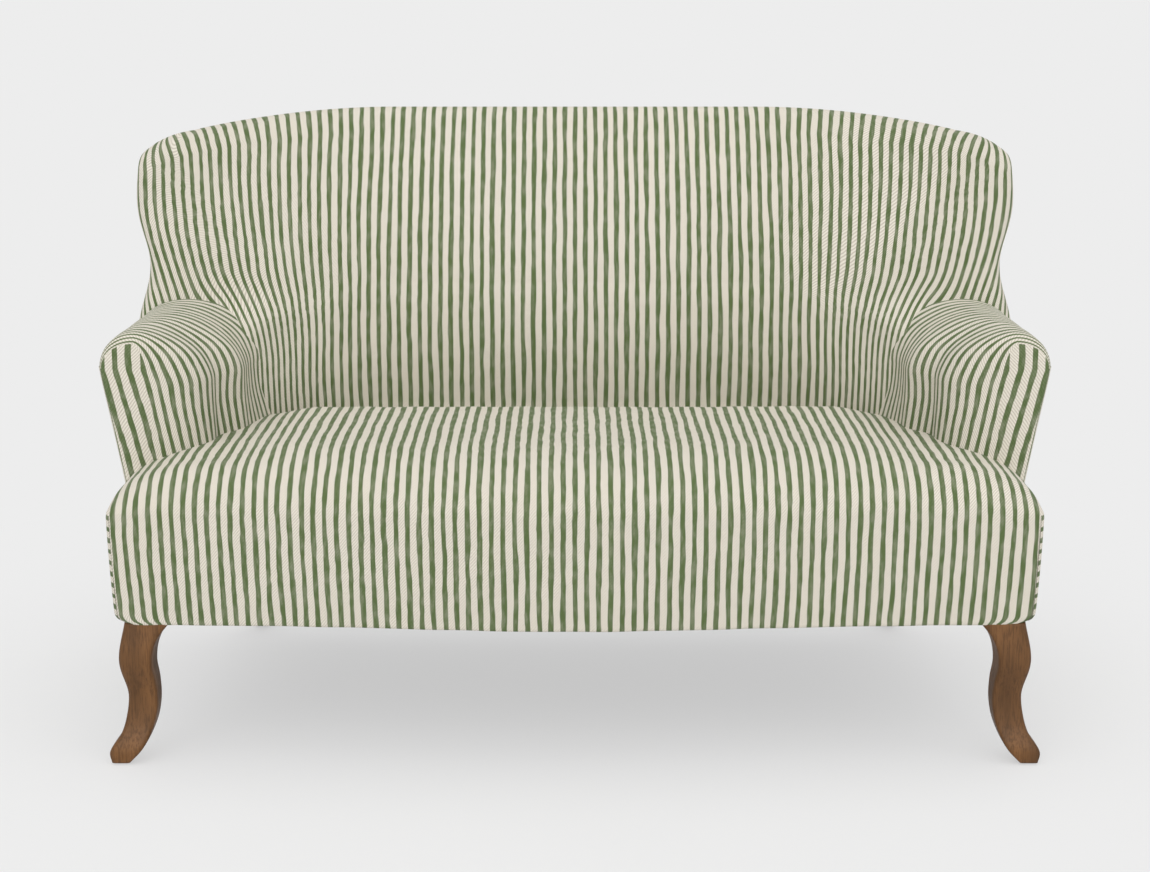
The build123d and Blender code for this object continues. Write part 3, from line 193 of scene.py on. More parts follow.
def ripple(x, y, seed, size):
    """Gentle unevenness of hand-laid stuffing: a sum of crossed sines, about -1 to 1."""
    total = np.zeros(np.broadcast(x, y).shape)
    rng = np.random.default_rng(seed)
    for _ in range(5):
        ax, ay = rng.normal(0, 1, 2) * 2 * pi / size
        total = total + np.sin(ax * x + ay * y + rng.uniform(0, 2 * pi))
    return total / 3.0


# ---- meshes
def grid_mesh(name, points, cloth=None, flip=False, closed=False, ends=False):
    """A surface from a grid of points (rows, columns, xyz), with the cloth's own measure as UVs.

    Quads join neighbouring points. closed joins the last column to the first. ends puts a
    face over the first and the last row.
    """
    rows, columns = points.shape[:2]
    index = np.arange(rows * columns).reshape(rows, columns)
    right = np.roll(index, -1, axis=1) if closed else index[:, 1:]
    left = index if closed else index[:, :-1]
    quads = np.stack([left[:-1], right[:-1], right[1:], left[1:]], axis=-1).reshape(-1, 4)
    if flip:
        quads = quads[:, ::-1]
    faces = quads.tolist()
    if ends:
        low, high = index[0].tolist(), index[-1].tolist()
        faces += [low, high[::-1]] if flip else [low[::-1], high]
    mesh = bpy.data.meshes.new(name)
    mesh.from_pydata(points.reshape(-1, 3).tolist(), [], faces)
    if cloth is not None:
        layer = mesh.uv_layers.new(name="cloth")
        corner = np.empty(len(mesh.loops), dtype=np.int32)
        mesh.loops.foreach_get("vertex_index", corner)
        layer.data.foreach_set("uv", cloth.reshape(-1, 2)[corner].astype(np.float32).ravel())
    mesh.polygons.foreach_set("use_smooth", np.ones(len(mesh.polygons), dtype=bool))
    mesh.update()
    piece = bpy.data.objects.new(name, mesh)
    bpy.context.collection.objects.link(piece)
    return piece


def at_depth(x, depth, z):
    """Points in the frame's space from x, depth and height."""
    x, depth, z = np.broadcast_arrays(x, depth, z)
    return np.stack([x, depth + FRONT_Y, z], axis=-1)


def cloth_map(across, up):
    """The cloth's measure at each point of a grid: across the stripes and along them."""
    return np.stack(np.broadcast_arrays(across, up), axis=-1)


def mirrored(half):
    """Both halves of a grid of x, depth and height that starts on the middle line."""
    return np.concatenate([half[:, :0:-1] * np.array([-1, 1, 1]), half], axis=1)


def finish_piece(piece, material, nodes, cut=None):
    """Material, body, material slot and the frame's nodes that the piece stands for.

    cut is the grid of a panel of cloth, stretched over the nodes: its flat size is
    taken as its widest row and longest column, and not used further.
    """
    piece.data.materials.append(material)
    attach(piece, "root")
    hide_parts(*nodes)
    if cut is not None:
        width, length = run_lengths(cut, 1)[:, -1].max(), run_lengths(cut, 0)[-1].max()


# ---- materials
TWILL_RIBS = 300.0  # ribs in a metre of cloth
ACROSS_RIBS = (0.77, -0.64)  # direction across the ribs
RIB_DRIFT = 0.0016  # how far a rib strays, in metres
STRIPE_WANDER = 0.0062  # how far a stripe strays, in metres
WIDTH_CHANGE = 0.20  # change of a stripe's width, as a share of the pitch
EDGE_RAGGED = 0.16  # raggedness of its edges, as the same share
EDGE_SOFT = 0.028  # softness of its edges, as the same share
INK_THIN = 0.80  # least cover of the ink
ZERO_SHIFT = 1000.5  # whole pitches that keep the cloth's measure above 0, and a half


class Nodes:
    """Short words for building a material's nodes."""

    def __init__(self, tree):
        self.tree = tree

    def new(self, kind, inputs=None, **values):
        node = self.tree.nodes.new(kind)
        for key, value in values.items():
            setattr(node, key, value)
        self.fill(node, inputs or {})
        return node

    def fill(self, node, inputs):
        """Gives inputs, by name or place, a value or another node's output."""
        for key, value in inputs.items():
            if isinstance(value, bpy.types.NodeSocket):
                self.tree.links.new(value, node.inputs[key])
            else:
                node.inputs[key].default_value = value

    def math(self, operation, *values):
        return self.new("ShaderNodeMath", dict(enumerate(values)), operation=operation).outputs[0]

    def noise(self, vector, scale, detail=2.0):
        inputs = {"Vector": vector, "Scale": scale, "Detail": detail}
        return self.new("ShaderNodeTexNoise", inputs).outputs["Fac"]

    def scaled(self, vector, scale, turn=0.0):
        inputs = {"Vector": vector, "Scale": scale, "Rotation": (0, 0, turn)}
        return self.new("ShaderNodeMapping", inputs).outputs["Vector"]

    def grain(self, vector, scale, detail=2.0):
        """Noise that is drawn out by a scale for each axis."""
        return self.noise(self.scaled(vector, scale), 1.0, detail)

    def spread(self, value, low, high, out_low=0.0, out_high=1.0):
        names = ("Value", "From Min", "From Max", "To Min", "To Max")
        inputs = dict(zip(names, (value, low, high, out_low, out_high)))
        node = self.new("ShaderNodeMapRange", inputs, interpolation_type="SMOOTHSTEP")
        return node.outputs["Result"]

    def blend(self, share, first, second):
        ends = [(*end, 1.0) if isinstance(end, tuple) else end for end in (first, second)]
        inputs = {0: share, 6: ends[0], 7: ends[1]}
        return self.new("ShaderNodeMix", inputs, data_type="RGBA").outputs[2]

    def axes(self, vector):
        node = self.new("ShaderNodeSeparateXYZ", {0: vector})
        return node.outputs["X"], node.outputs["Y"]

    def object_place(self):
        return self.new("ShaderNodeTexCoord").outputs["Object"]

    def bump(self, height, strength, distance):
        inputs = {"Height": height, "Strength": strength, "Distance": distance}
        return self.new("ShaderNodeBump", inputs).outputs["Normal"]


def new_material(name):
    """A material, its nodes and its surface shader."""
    material = bpy.data.materials.new(name)
    material.use_nodes = True
    return material, Nodes(material.node_tree), material.node_tree.nodes["Principled BSDF"]


def linear(red, green, blue):
    """A colour given as 0 to 255 screen values, in the renderer's own measure."""
    value = np.array([red, green, blue]) / 255.0
    curve = np.where(value <= 0.04045, value / 12.92, ((value + 0.055) / 1.055) ** 2.4)
    return tuple(float(v) for v in curve)


def tinted(colour, *shares):
    """The colour times one share, or times a share for each channel, and 1 at most."""
    each = shares * 3 if len(shares) == 1 else shares
    return tuple(min(channel * share, 1.0) for channel, share in zip(colour, each))


def weave_group():
    """Twill ribs, threads and small colour flecks of the covers' cloth.

    The ribs are sin(2 pi r (0.77 u - 0.64 v + drift)) for r ribs in a metre.
    """
    group = bpy.data.node_groups.new("twill weave", "ShaderNodeTree")
    group.interface.new_socket("Cloth", in_out="INPUT", socket_type="NodeSocketVector")
    group.interface.new_socket("Ribs per metre", in_out="INPUT", socket_type="NodeSocketFloat")
    for name in ("Rib", "Fleck", "Slub"):
        group.interface.new_socket(name, in_out="OUTPUT", socket_type="NodeSocketFloat")
    n = Nodes(group)
    given = n.new("NodeGroupInput")
    result = n.new("NodeGroupOutput")
    cloth = given.outputs["Cloth"]
    x, y = n.axes(cloth)
    drift = n.math("MULTIPLY", n.grain(cloth, (90, 60, 1), 1.0), RIB_DRIFT)
    aslant = [n.math("MULTIPLY", axis, share) for axis, share in zip((x, y), ACROSS_RIBS)]
    across = n.math("ADD", *aslant)
    turns = n.math("MULTIPLY", n.math("ADD", across, drift), given.outputs["Ribs per metre"])
    wave = n.math("SINE", n.math("MULTIPLY", turns, 2 * pi))
    n.fill(result, {"Rib": n.spread(wave, -1.0, 1.0),
                    "Fleck": n.grain(cloth, (520, 520, 1), 3.0),
                    "Slub": n.grain(cloth, (30, 700, 1), 2.0)})
    return group


def striped_cloth(name, settings, weave, turned=False):
    """Cream twill with hand-printed green stripes, measured in metres on the cloth's own map.

    The stripe is the band |frac(u / pitch + 1/2) - 1/2| < width, with edges that wander and
    ink that thins out along it.
    """
    material, n, shader = new_material(name)
    cloth = n.new("ShaderNodeUVMap", uv_map="cloth").outputs["UV"]
    if turned:
        cloth = n.scaled(cloth, (1, 1, 1), radians(90))
    along = n.axes(cloth)[0]

    def unsteady(scale, detail, size):
        """Noise on the cloth around 0, of a given size."""
        return n.math("MULTIPLY", n.math("SUBTRACT", n.grain(cloth, scale, detail), 0.5), size)

    wander = unsteady((28, 9, 1), 2.0, STRIPE_WANDER)
    place = n.math("DIVIDE", n.math("ADD", along, wander), settings.stripe_pitch)
    turns = n.math("FRACT", n.math("ADD", place, ZERO_SHIFT))
    near = n.math("ABSOLUTE", n.math("SUBTRACT", turns, 0.5))
    near = n.math("SUBTRACT", near, unsteady((57, 14, 1), 2.0, WIDTH_CHANGE))
    reach = n.math("ADD", near, unsteady((900, 55, 1), 3.0, EDGE_RAGGED))
    share = settings.stripe_width / settings.stripe_pitch / 2
    stripe = n.spread(reach, share - EDGE_SOFT, share + EDGE_SOFT, 1.0, 0.0)
    ink = n.spread(n.grain(cloth, (120, 38, 1), 4.0), 0.25, 0.62, INK_THIN, 1.0)
    inputs = {"Cloth": cloth, "Ribs per metre": TWILL_RIBS}
    woven = n.new("ShaderNodeGroup", inputs, node_tree=weave)
    rib, fleck, slub = (woven.outputs[key] for key in ("Rib", "Fleck", "Slub"))
    cream, green = tuple(settings.cream), tuple(settings.green)
    # painted shade: the cream is darker in the ribs' hollows, with a painted highlight on their
    # crests
    rib_shade = tinted(cream, 0.73, 0.70, 0.68)
    ground = n.blend(n.math("POWER", rib, 1.6), tinted(cream, 1.06), rib_shade)
    warm = tinted(cream, 0.94, 0.87, 0.82)
    ground = n.blend(n.spread(fleck, 0.42, 0.75, 0.0, 0.55), ground, warm)
    ground = n.blend(n.spread(slub, 0.50, 0.80, 0.0, 0.35), ground, tinted(cream, 1.12))
    # painted shade: the green print is darker in the ribs' hollows
    printed = n.blend(n.spread(rib, 0.0, 1.0, 0.0, 0.50), green, tinted(green, 0.66))
    printed = n.blend(n.spread(fleck, 0.45, 0.80, 0.0, 0.35), printed, tinted(green, 1.6))
    colour = n.blend(n.math("MULTIPLY", stripe, ink), ground, printed)
    height = n.math("ADD", n.math("MULTIPLY", rib, 0.6), n.math("MULTIPLY", fleck, 0.5))
    n.fill(shader, {"Base Color": colour, "Roughness": 0.92, "Sheen Weight": 0.05,
                    "Sheen Roughness": 0.5, "Normal": n.bump(height, 0.35, 0.0004)})
    return material


def polished_wood(name, colour):
    """Satin stained hardwood with its grain running up the leg."""
    material, n, shader = new_material(name)
    place = n.object_place()
    broad = n.grain(place, (26, 26, 3.0), 4.0)
    fine = n.grain(place, (420, 420, 11), 3.0)
    pores = n.grain(place, (1500, 1500, 60), 2.0)
    tone = n.blend(n.spread(broad, 0.30, 0.70), tinted(colour, 0.66), tinted(colour, 1.35))
    tone = n.blend(n.spread(fine, 0.42, 0.68, 0.0, 0.6), tone, tinted(colour, 0.48))
    tone = n.blend(n.spread(pores, 0.60, 0.75, 0.0, 0.5), tone, tinted(colour, 0.25))
    n.fill(shader, {"Base Color": tone, "Roughness": n.spread(fine, 0.3, 0.7, 0.34, 0.48),
                    "Coat Weight": 0.05, "Coat Roughness": 0.3, "Specular IOR Level": 0.25,
                    "Normal": n.bump(fine, 0.25, 0.0003)})
    return material


def plain_cloth(name, colour, threads):
    """Plain woven lining cloth with crossing threads, so many to the metre."""
    material, n, shader = new_material(name)
    place = n.object_place()
    drawn = threads / 20
    warp = n.grain(place, (threads, drawn, threads))
    weft = n.grain(place, (drawn, threads, threads))
    both = n.math("ADD", n.math("MULTIPLY", warp, 0.5), n.math("MULTIPLY", weft, 0.5))
    tone = n.blend(n.spread(both, 0.35, 0.65), tinted(colour, 0.7), tinted(colour, 1.3))
    n.fill(shader, {"Base Color": tone, "Roughness": 0.95, "Normal": n.bump(both, 0.3, 0.0005)})
    return material


def moulded(name, colour):
    """Moulded plastic of the glides, with lighter scuffs scattered over it."""
    material, n, shader = new_material(name)
    scuff = n.noise(n.object_place(), 220.0, 4.0)
    n.fill(shader, {"Base Color": n.blend(n.spread(scuff, 0.45, 0.7), colour, tinted(colour, 1.8)),
                    "Roughness": n.spread(scuff, 0.3, 0.7, 0.4, 0.6)})
    return material


def cloth_material(turned=False):
    """The covers' cloth, made once and shared. turned runs the stripes level."""
    name = "striped twill turned" if turned else "striped twill"
    found = bpy.data.materials.get(name)
    if found:
        return found
    weave = bpy.data.node_groups.get("twill weave") or weave_group()
    return striped_cloth(name, bpy.context.scene.settee_cloth, weave, turned)


def cover(name, points, measure, nodes, flip=False, turned=False, fill=None):
    """A piece of the covers' cloth. Without fill, its points go on as a stretched panel's cut;
    the amount of fill is not used.
    """
    piece = grid_mesh(name, points, measure, flip=flip)
    cut = points if fill is None else None
    finish_piece(piece, cloth_material(turned), nodes, cut=cut)


# ---- settings
def colour_setting(name, description, *screen):
    """A colour, its default given as 0 to 255 screen values."""
    return bpy.props.FloatVectorProperty(
        name=name, description=description, default=linear(*screen), subtype="COLOR", size=3,
        min=0, max=1)


def length_setting(name, description, default, least):
    """A length in metres."""
    return bpy.props.FloatProperty(
        name=name, description=description, default=default, min=least, unit="LENGTH")


class SetteeCloth(bpy.types.PropertyGroup):
    """Colours and stripe of the covers."""

    cream: colour_setting("Cream", "Ground of the cloth", 223, 218, 205)
    green: colour_setting("Green", "Printed stripes", 88, 106, 62)
    stripe_pitch: length_setting("Stripe pitch", "From one stripe to the next", 0.018, 0.004)
    stripe_width: length_setting("Stripe width", "Width of a stripe", 0.0078, 0.001)


class SetteeForm(bpy.types.PropertyGroup):
    """Stuffing, legs and floor."""

    unevenness: length_setting(
        "Unevenness", "Swell and dip of the stuffing under the covers", 0.0014, 0.0)
    leg_colour: colour_setting("Leg colour", "Stain of the legs", 110, 75, 42)
    floor_colour: colour_setting("Floor colour", "Floor of the studio", 240, 240, 240)


# ---- seat
SEAT_FLAT = 0.56  # half width of the top between its rolled ends
END_ROLL = 0.155  # width of the roll at each end
SEAT_HALF = SEAT_FLAT + END_ROLL
ROLL_Z = 0.40  # height and depth of the front roll's centre line
ROLL_DEPTH = 0.15
ROLL_RISE = 0.09  # how high the top stands over it
FRONT_PROUD = 0.008  # how far the front stands before depth 0
FRONT_FALL = 0.0135  # how far it falls back by its foot
FRONT_HEIGHT = ROLL_Z - FRAME_BOTTOM
FRONT_FOOT = 0.2255  # where the front turns under
TOP_CROWN = 0.004  # crown of the top from front to back
REAR_FALL = 0.028  # how much lower the top is at the inside back
SIDE_FALL = 0.018  # and beside the arms
SEAT_REAR = 0.57  # depth at which the cover ends, under the inside back
SEAT_CORNER = 0.022  # rounding of the front's upright corners
LOW_ROUND = 0.014  # rounding of the ends at the base
LOW_EDGE = 0.2265
END_LEAN = 0.005  # how far the ends lean in by the base, as a share
END_PROUD = 0.0008  # how far the end panels stand over the cover
END_REAR = 0.175  # length of the end panels


def front_line(z):
    """Depth of the seat's front at height z, below the roll."""
    return -FRONT_PROUD + FRONT_FALL * (np.clip(ROLL_Z - z, 0, None) / FRONT_HEIGHT) ** 2


def end_lean(z):
    """Share by which the seat's ends draw in at height z."""
    return 1.0 - END_LEAN * unit((ROLL_Z - z) / FRONT_HEIGHT) ** 1.5


def seat_points(columns=300, end_columns=40):
    """The tight seat: a profile from under the front rail, up the front, over the front roll and
    back under the inside back, carried across the settee.

    Above the roll's centre line the profile is flattened towards the ends by an ellipse, the
    front follows the bow, and the ends lean in below.
    """
    form = bpy.context.scene.settee_form
    flat = np.linspace(0, SEAT_FLAT, columns // 2 - end_columns, endpoint=False)
    roll = SEAT_FLAT + END_ROLL * np.sin(np.linspace(0, pi / 2, end_columns))
    half = np.concatenate([flat, roll])
    x = np.concatenate([-half[:0:-1], half])[None, :]
    away = np.abs(x)
    swell = np.sqrt(unit(1.0 - (np.clip(away - SEAT_FLAT, 0, END_ROLL) / END_ROLL) ** 2))
    # the profile: under the rail, up the front, round the roll, over the top
    low = np.linspace(FRONT_FOOT, ROLL_Z, 40)
    turn = np.linspace(0, pi / 2, 48)[1:]
    roll_depth = ROLL_DEPTH - (ROLL_DEPTH + FRONT_PROUD) * np.cos(turn)
    roll_z = ROLL_Z + ROLL_RISE * np.sin(turn)
    top_depth = np.linspace(ROLL_DEPTH, SEAT_REAR, 64)[1:]
    crown = TOP_CROWN * np.sin(pi * unit((top_depth - ROLL_DEPTH) / 0.36))
    top_z = ROLL_Z + ROLL_RISE + crown - REAR_FALL * smooth((top_depth - 0.40) / 0.15)
    tuck_depth = np.array([0.025, 0.012, 0.0075])
    tuck_z = np.array([0.2225, 0.2225, 0.2232])
    depth = np.concatenate([tuck_depth, front_line(low), roll_depth, top_depth])[:, None]
    z = np.concatenate([tuck_z, low, roll_z, top_z])[:, None]
    # carried across
    forward = 1.0 - smooth(depth / 0.20)
    corner = rounding(away - SEAT_HALF + SEAT_CORNER, SEAT_CORNER)
    depth_all = depth + (bow(x) + corner) * forward
    z_all = np.where(z > ROLL_Z, ROLL_Z + (z - ROLL_Z) * swell, z + 0.0 * x)
    drawn_in = rounding(LOW_EDGE + LOW_ROUND - z, LOW_ROUND) * smooth((away - 0.60) / 0.11)
    x_all = x * end_lean(z) - np.sign(x) * drawn_in
    bump = ripple(x, z + depth, 3, 0.30) * form.unevenness
    on_top = smooth((depth - 0.02) / 0.10)
    z_all = z_all + (bump - SIDE_FALL * smooth((away - 0.42) / 0.14)) * on_top * swell
    depth_all = depth_all - bump * (1 - on_top)
    points = at_depth(x_all, depth_all, z_all)
    return points, cloth_map(x, run_lengths(points, 0))


def seat_end(side):
    """Panel on the seat's end: from its front corner back, and turned in behind the arm's front.
    side is -1 for the left end and 1 for the right."""
    z = np.linspace(0.2270, 0.4080, 40)[:, None]
    turn = np.linspace(0.75, pi / 2, 16)[None, :]
    run = np.linspace(0.024, END_REAR, 24)[None, :]
    back = np.linspace(0, pi / 2, 8)[None, 1:]
    corner = SEAT_CORNER + END_PROUD
    corner_x = SEAT_HALF - SEAT_CORNER + corner * np.sin(turn)
    turned_in = SEAT_HALF - 0.030 * (1 - np.cos(back))
    x = np.concatenate([corner_x, SEAT_HALF + END_PROUD + 0 * run, turned_in], axis=1)
    corner_depth = SEAT_CORNER - corner * np.cos(turn)
    run_depth = np.concatenate([corner_depth, run, END_REAR + 0.008 * np.sin(back)], axis=1)
    low = rounding(LOW_EDGE + LOW_ROUND - z, LOW_ROUND)
    high = 0.012 * unit((z - 0.396) / 0.012) ** 2
    depth = bow(0.70) + front_line(z) + run_depth
    face = at_depth(side * (x * end_lean(z) - low - high), depth, z)
    return face, cloth_map(run_lengths(face, 1), z)


class SetteeSeat(bpy.types.Operator):
    """Tight seat, one cover from the back over the front roll to the underside"""

    bl_idname = "settee.seat"
    bl_label = "Seat"

    def execute(self, context):
        nodes = ["seat_cover", "seat_foam", "front_edge_pad"]
        cover("seat", *seat_points(), nodes, fill=0.95)
        for word, side in SIDES:
            nodes = [f"{word}_seat_border"]
            cover(f"{word}_seat_end", *seat_end(side), nodes, side < 0, turned=True)
        return {"FINISHED"}


# ---- back and wings
FLAT_END = 0.34  # share of the columns over the flat middle
ARC_END = 0.70  # share at which the corner's arc passes into the wing
NOSE = 0.88  # share at the middle of the wing's front edge
NOSE_ROUND = 0.042  # how far back that edge's rounding reaches on the outer side
BACK_COLUMNS = 230  # grid of half the back
BACK_ROWS = 190
ROLL_ROWS = 44  # rows over its top
INNER_FOOT = 0.430  # where the inside back starts, behind the seat
CREST_AT = 0.93  # a height near the top, for finding the crest's line
CORNER_DROP = 0.052  # how much the crest drops round the wing's corner
TOP_ROLL = 0.040  # most height of the top edge's rounding
TOP_SHARE = 0.42  # its height as a share of the back's thickness
SIDE_CUT = 0.56  # share at which the outside back meets the outside wing
WING_LOW = 0.598  # lower edge of the outside wing, behind the arm's top


def nose_middle(z):
    """Foremost point of the wing's front edge at height z, as x and depth."""
    inner = 0.560 + 0.5 * (z - WING_FOOT)
    return (inner + outer_x(z)) / 2, nose_depth(z)


def outer_end(z):
    """Angle in the rear corner's plan at which the outer face meets the front edge's rounding."""
    power = corner_power(z)
    close = (nose_depth(z) + NOSE_ROUND - CORNER_DEPTH) / (rear_depth(z) - CORNER_DEPTH)
    return power, np.arccos(unit(close) ** (power / 2))


def outer_point(turn, power, z):
    """Point of the outer face at an angle in the rear corner: a rounded square in plan."""
    x = CORNER_X + (outer_x(z) - CORNER_X) * np.sin(turn) ** (2 / power)
    return x, CORNER_DEPTH + (rear_depth(z) - CORNER_DEPTH) * np.cos(turn) ** (2 / power)


def inner_plan(share, z):
    """The inside back at height z: straight middle, an arc in the corner, an S into the wing's
    front edge and round it to the outer face. share runs from the middle of the back to there."""
    radius = corner_radius(z)
    centre = back_depth(z) - radius
    nose_x, nose_d = nose_middle(z)
    behind = np.clip(0.045 - 0.15 * (z - 0.70), 0.018, 0.045)
    high = np.arccos(np.clip((nose_d + behind - centre) / radius, -1, 1))
    angle = mix(radians(72.0), high, smooth((z - 0.585) / 0.090))
    # middle and corner
    flat = unit(share / FLAT_END)
    turn = angle * unit((share - FLAT_END) / (ARC_END - FLAT_END))
    x = CORNER_X * flat + radius * np.sin(turn)
    d = centre + radius * np.cos(turn)
    # from the corner to the front edge
    t = unit((share - ARC_END) / (NOSE - ARC_END))
    end_x = CORNER_X + radius * np.sin(angle)
    end_d = centre + radius * np.cos(angle)
    reach = np.hypot(nose_x - end_x, nose_d - end_d)
    curve_x = cubic(end_x, reach * 0.9 * np.cos(angle), nose_x, reach, t)
    curve_d = cubic(end_d, -reach * 0.9 * np.sin(angle), nose_d, 0.0, t)
    # round the front edge
    power, last = outer_end(z)
    side_x, side_d = outer_point(last, power, z)
    r = unit((share - NOSE) / (1 - NOSE))
    slope = np.hypot(nose_x - side_x, nose_d - side_d) * 1.25
    round_x = cubic(nose_x, slope, side_x, 0.0, r)
    round_d = cubic(nose_d, 0.0, side_d, slope, r)
    x = np.where(share > NOSE, round_x, np.where(share > ARC_END, curve_x, x))
    return x, np.where(share > NOSE, round_d, np.where(share > ARC_END, curve_d, d))


def outer_plan(share, z):
    """The outside at height z: straight rear and a rounded-square corner up to the rounding of
    the wing's front edge."""
    power, last = outer_end(z)
    x, d = outer_point(last * unit((share - FLAT_END) / (1 - FLAT_END)), power, z)
    return x - CORNER_X * (1 - unit(share / FLAT_END)), d


def eased(grid, width, axis, weight):
    """The grid smoothed by a bell of the given width, in steps, where the weight is 1.

    Past its ends the grid is carried on by point reflection, so its borders stay in place.
    """
    reach = 3 * width
    bell = np.exp(-0.5 * (np.arange(-reach, reach + 1) / width) ** 2)
    bell /= bell.sum()
    moved = np.moveaxis(grid, axis, 0)
    before = 2 * moved[0] - moved[reach:0:-1]
    after = 2 * moved[-1] - moved[-2 : -reach - 2 : -1]
    longer = np.concatenate([before, moved, after])
    soft = sum(share * longer[step : step + len(moved)] for step, share in enumerate(bell))
    return mix(grid, np.moveaxis(soft, 0, axis), weight)


def top_spring(share):
    """Crest of the back over each column, and the height of the top edge's rounding under it.

    The rounding is 0.42 of the back's thickness, and the crest drops round the wing's corner.
    """
    line = inner_plan(share, CREST_AT)[0] * 0.5 + outer_plan(share, CREST_AT)[0] * 0.5
    crest = back_top(line)
    corner = unit((share - ARC_END) / (1 - ARC_END))
    crest = crest - CORNER_DROP * (1 - np.sqrt(unit(1 - corner**2)))
    near = inner_plan(share, crest - 0.03)
    far = outer_plan(share, crest - 0.03)
    thick = np.hypot(near[0] - far[0], near[1] - far[1])
    return crest, np.minimum(TOP_SHARE * thick, TOP_ROLL)


def back_half(share):
    """Half of the back: up the inside, over the rounded top and down to the outside.

    The top edge is two cubics, from the leaning inner face up to the crest and down to the
    outer face.
    """
    crest, height = top_spring(share)
    spring = crest - height
    z = INNER_FOOT + (spring - INNER_FOOT) * np.linspace(0, 1, BACK_ROWS)[:, None]
    plan = np.stack(inner_plan(share + 0 * z, z), axis=-1)
    weight = (smooth((share - 0.30) / 0.20) * (1 - smooth((share - 0.86) / 0.10)))[..., None]
    plan = eased(eased(plan, 13, 1, weight), 7, 0, weight)
    inside = np.concatenate([plan, z[..., None]], axis=-1)
    start, stop = inside[-1], np.stack([*outer_plan(share, spring), spring], axis=-1)[0]
    middle = mix(start, stop, 0.52)
    middle[:, 2] = crest[0]
    lean = (inside[-1] - inside[-2]) / (inside[-1, :, 2] - inside[-2, :, 2])[:, None]
    across = (stop - start) * np.array([1, 1, 0])
    first = np.linspace(0, 1, ROLL_ROWS // 2)[1:, None, None]
    second = np.linspace(0, 1, ROLL_ROWS - ROLL_ROWS // 2 + 1)[1:, None, None]
    up = cubic(start, lean * height.T * 1.5, middle, across * 0.62, first)
    falling = np.array([0, 0, -1.0]) * height.T * 2.1
    down = cubic(middle, across * 0.95, stop, falling, second)
    return np.concatenate([inside, up, down], axis=0)


def cloth_gather(x, z):
    """How much more cloth lies between the middle and x than the surface is long: the cover is
    eased into the hollow of the corner above the arm, and drawn outwards along the top edge."""
    over = (np.hypot(z - 0.66, 0.04) + z - 0.66) / 2
    above = -0.020 + 0.080 * np.exp(-over / 0.15)
    amount = above - 0.025 * (1 - smooth((z - 0.50) / 0.16))
    hollow = 0.045 * (1 - smooth((z - 0.56) / 0.16)) * np.clip((x - 0.42) / 0.12, 0, 1.5) ** 1.5
    hollow = hollow * (1 - smooth((x - 0.59) / 0.09))
    return amount * np.clip((x - CORNER_X) / 0.27, 0, None) ** 1.5 + hollow


def back_measure(shell):
    """The cloth's measure over half the back: across from the middle, and up from the seat.

    On the inside it is the length walked in plan. Over the top each stripe runs on square to a
    line half way between the edge's own course and straight across.
    """
    step = np.hypot(np.diff(shell[..., 0], axis=1), np.diff(shell[..., 1], axis=1))
    across = np.concatenate([np.zeros((shell.shape[0], 1)), np.cumsum(step, 1)], 1)
    edge = shell[BACK_ROWS - 1, :, :2]
    along = np.gradient(edge, axis=0)
    along = along / np.linalg.norm(along, axis=1, keepdims=True) + np.array([1.0, 0.0])
    along /= np.linalg.norm(along, axis=1, keepdims=True)
    over = ((shell[BACK_ROWS:, :, :2] - edge) * along).sum(axis=2)
    across[BACK_ROWS:] = across[BACK_ROWS - 1] + over
    return across + cloth_gather(shell[..., 0], shell[..., 2]), run_lengths(shell, 0)


def downwards(top, share, low):
    """The outside from its upper rows, straight down the outer face to a height."""
    seam = top[-1][None, :, 2]
    z = seam + (low - seam) * np.linspace(0, 1, 60)[1:, None]
    return np.concatenate([top, np.stack([*outer_plan(share + 0 * z, z), z], axis=-1)], axis=0)


class SetteeBack(bpy.types.Operator):
    """Inside back with its wings in one panel, and the outside back and wings"""

    bl_idname = "settee.back"
    bl_label = "Back and wings"

    def execute(self, context):
        form = context.scene.settee_form
        share = np.linspace(0, 1, BACK_COLUMNS)[None, :]
        shell = back_half(share)
        across, up = back_measure(shell)
        swell = ripple(across, up, 8, 0.34) * form.unevenness
        past = np.arange(shell.shape[0]) - BACK_ROWS + 12
        fade = unit(1 - np.maximum(past, 0) / 12)[:, None]
        shell[..., 1] -= swell * fade * smooth((1 - share) / 0.15)
        keep = BACK_ROWS + int(ROLL_ROWS * 0.80)
        front = mirrored(shell[:keep])
        points = at_depth(front[..., 0], front[..., 1], front[..., 2])
        u = np.concatenate([-across[:keep, :0:-1], across[:keep]], axis=1)
        v = np.concatenate([up[:keep, :0:-1], up[:keep]], axis=1)
        nodes = ["inside_back_cover", "back_foam", "left_inside_wing_cover",
                 "right_inside_wing_cover", "left_wing_foam", "right_wing_foam"]
        cover("inside_back", points, cloth_map(u, v), nodes, fill=0.9)
        # outside: from the end of the roll down to the base
        top = shell[keep - 1 :]
        cut = int(BACK_COLUMNS * SIDE_CUT)
        rear = mirrored(downwards(top, share, PANEL_FOOT)[:, :cut])
        points = at_depth(rear[..., 0], rear[..., 1], rear[..., 2])
        lengths = run_lengths(points, 1)
        measure = cloth_map(lengths - lengths[:, [cut - 1]], rear[..., 2])
        cover("outside_back", points, measure, ["outside_back_cover"])
        side = downwards(top, share, WING_LOW)[:, cut - 1 :]
        inside = shell[:BACK_ROWS]
        edge = np.interp(side[:, -1, 2], inside[:, -1, 2], across[:BACK_ROWS, -1])[:, None]
        for word, sign in SIDES:
            points = at_depth(sign * side[..., 0], side[..., 1], side[..., 2])
            lengths = run_lengths(points, 1)
            measure = cloth_map(edge + lengths[:, -1:] - lengths, side[..., 2])
            nodes = [f"{word}_outside_wing_cover"]
            cover(f"{word}_outside_wing", points, measure, nodes, sign < 0)
        return {"FINISHED"}


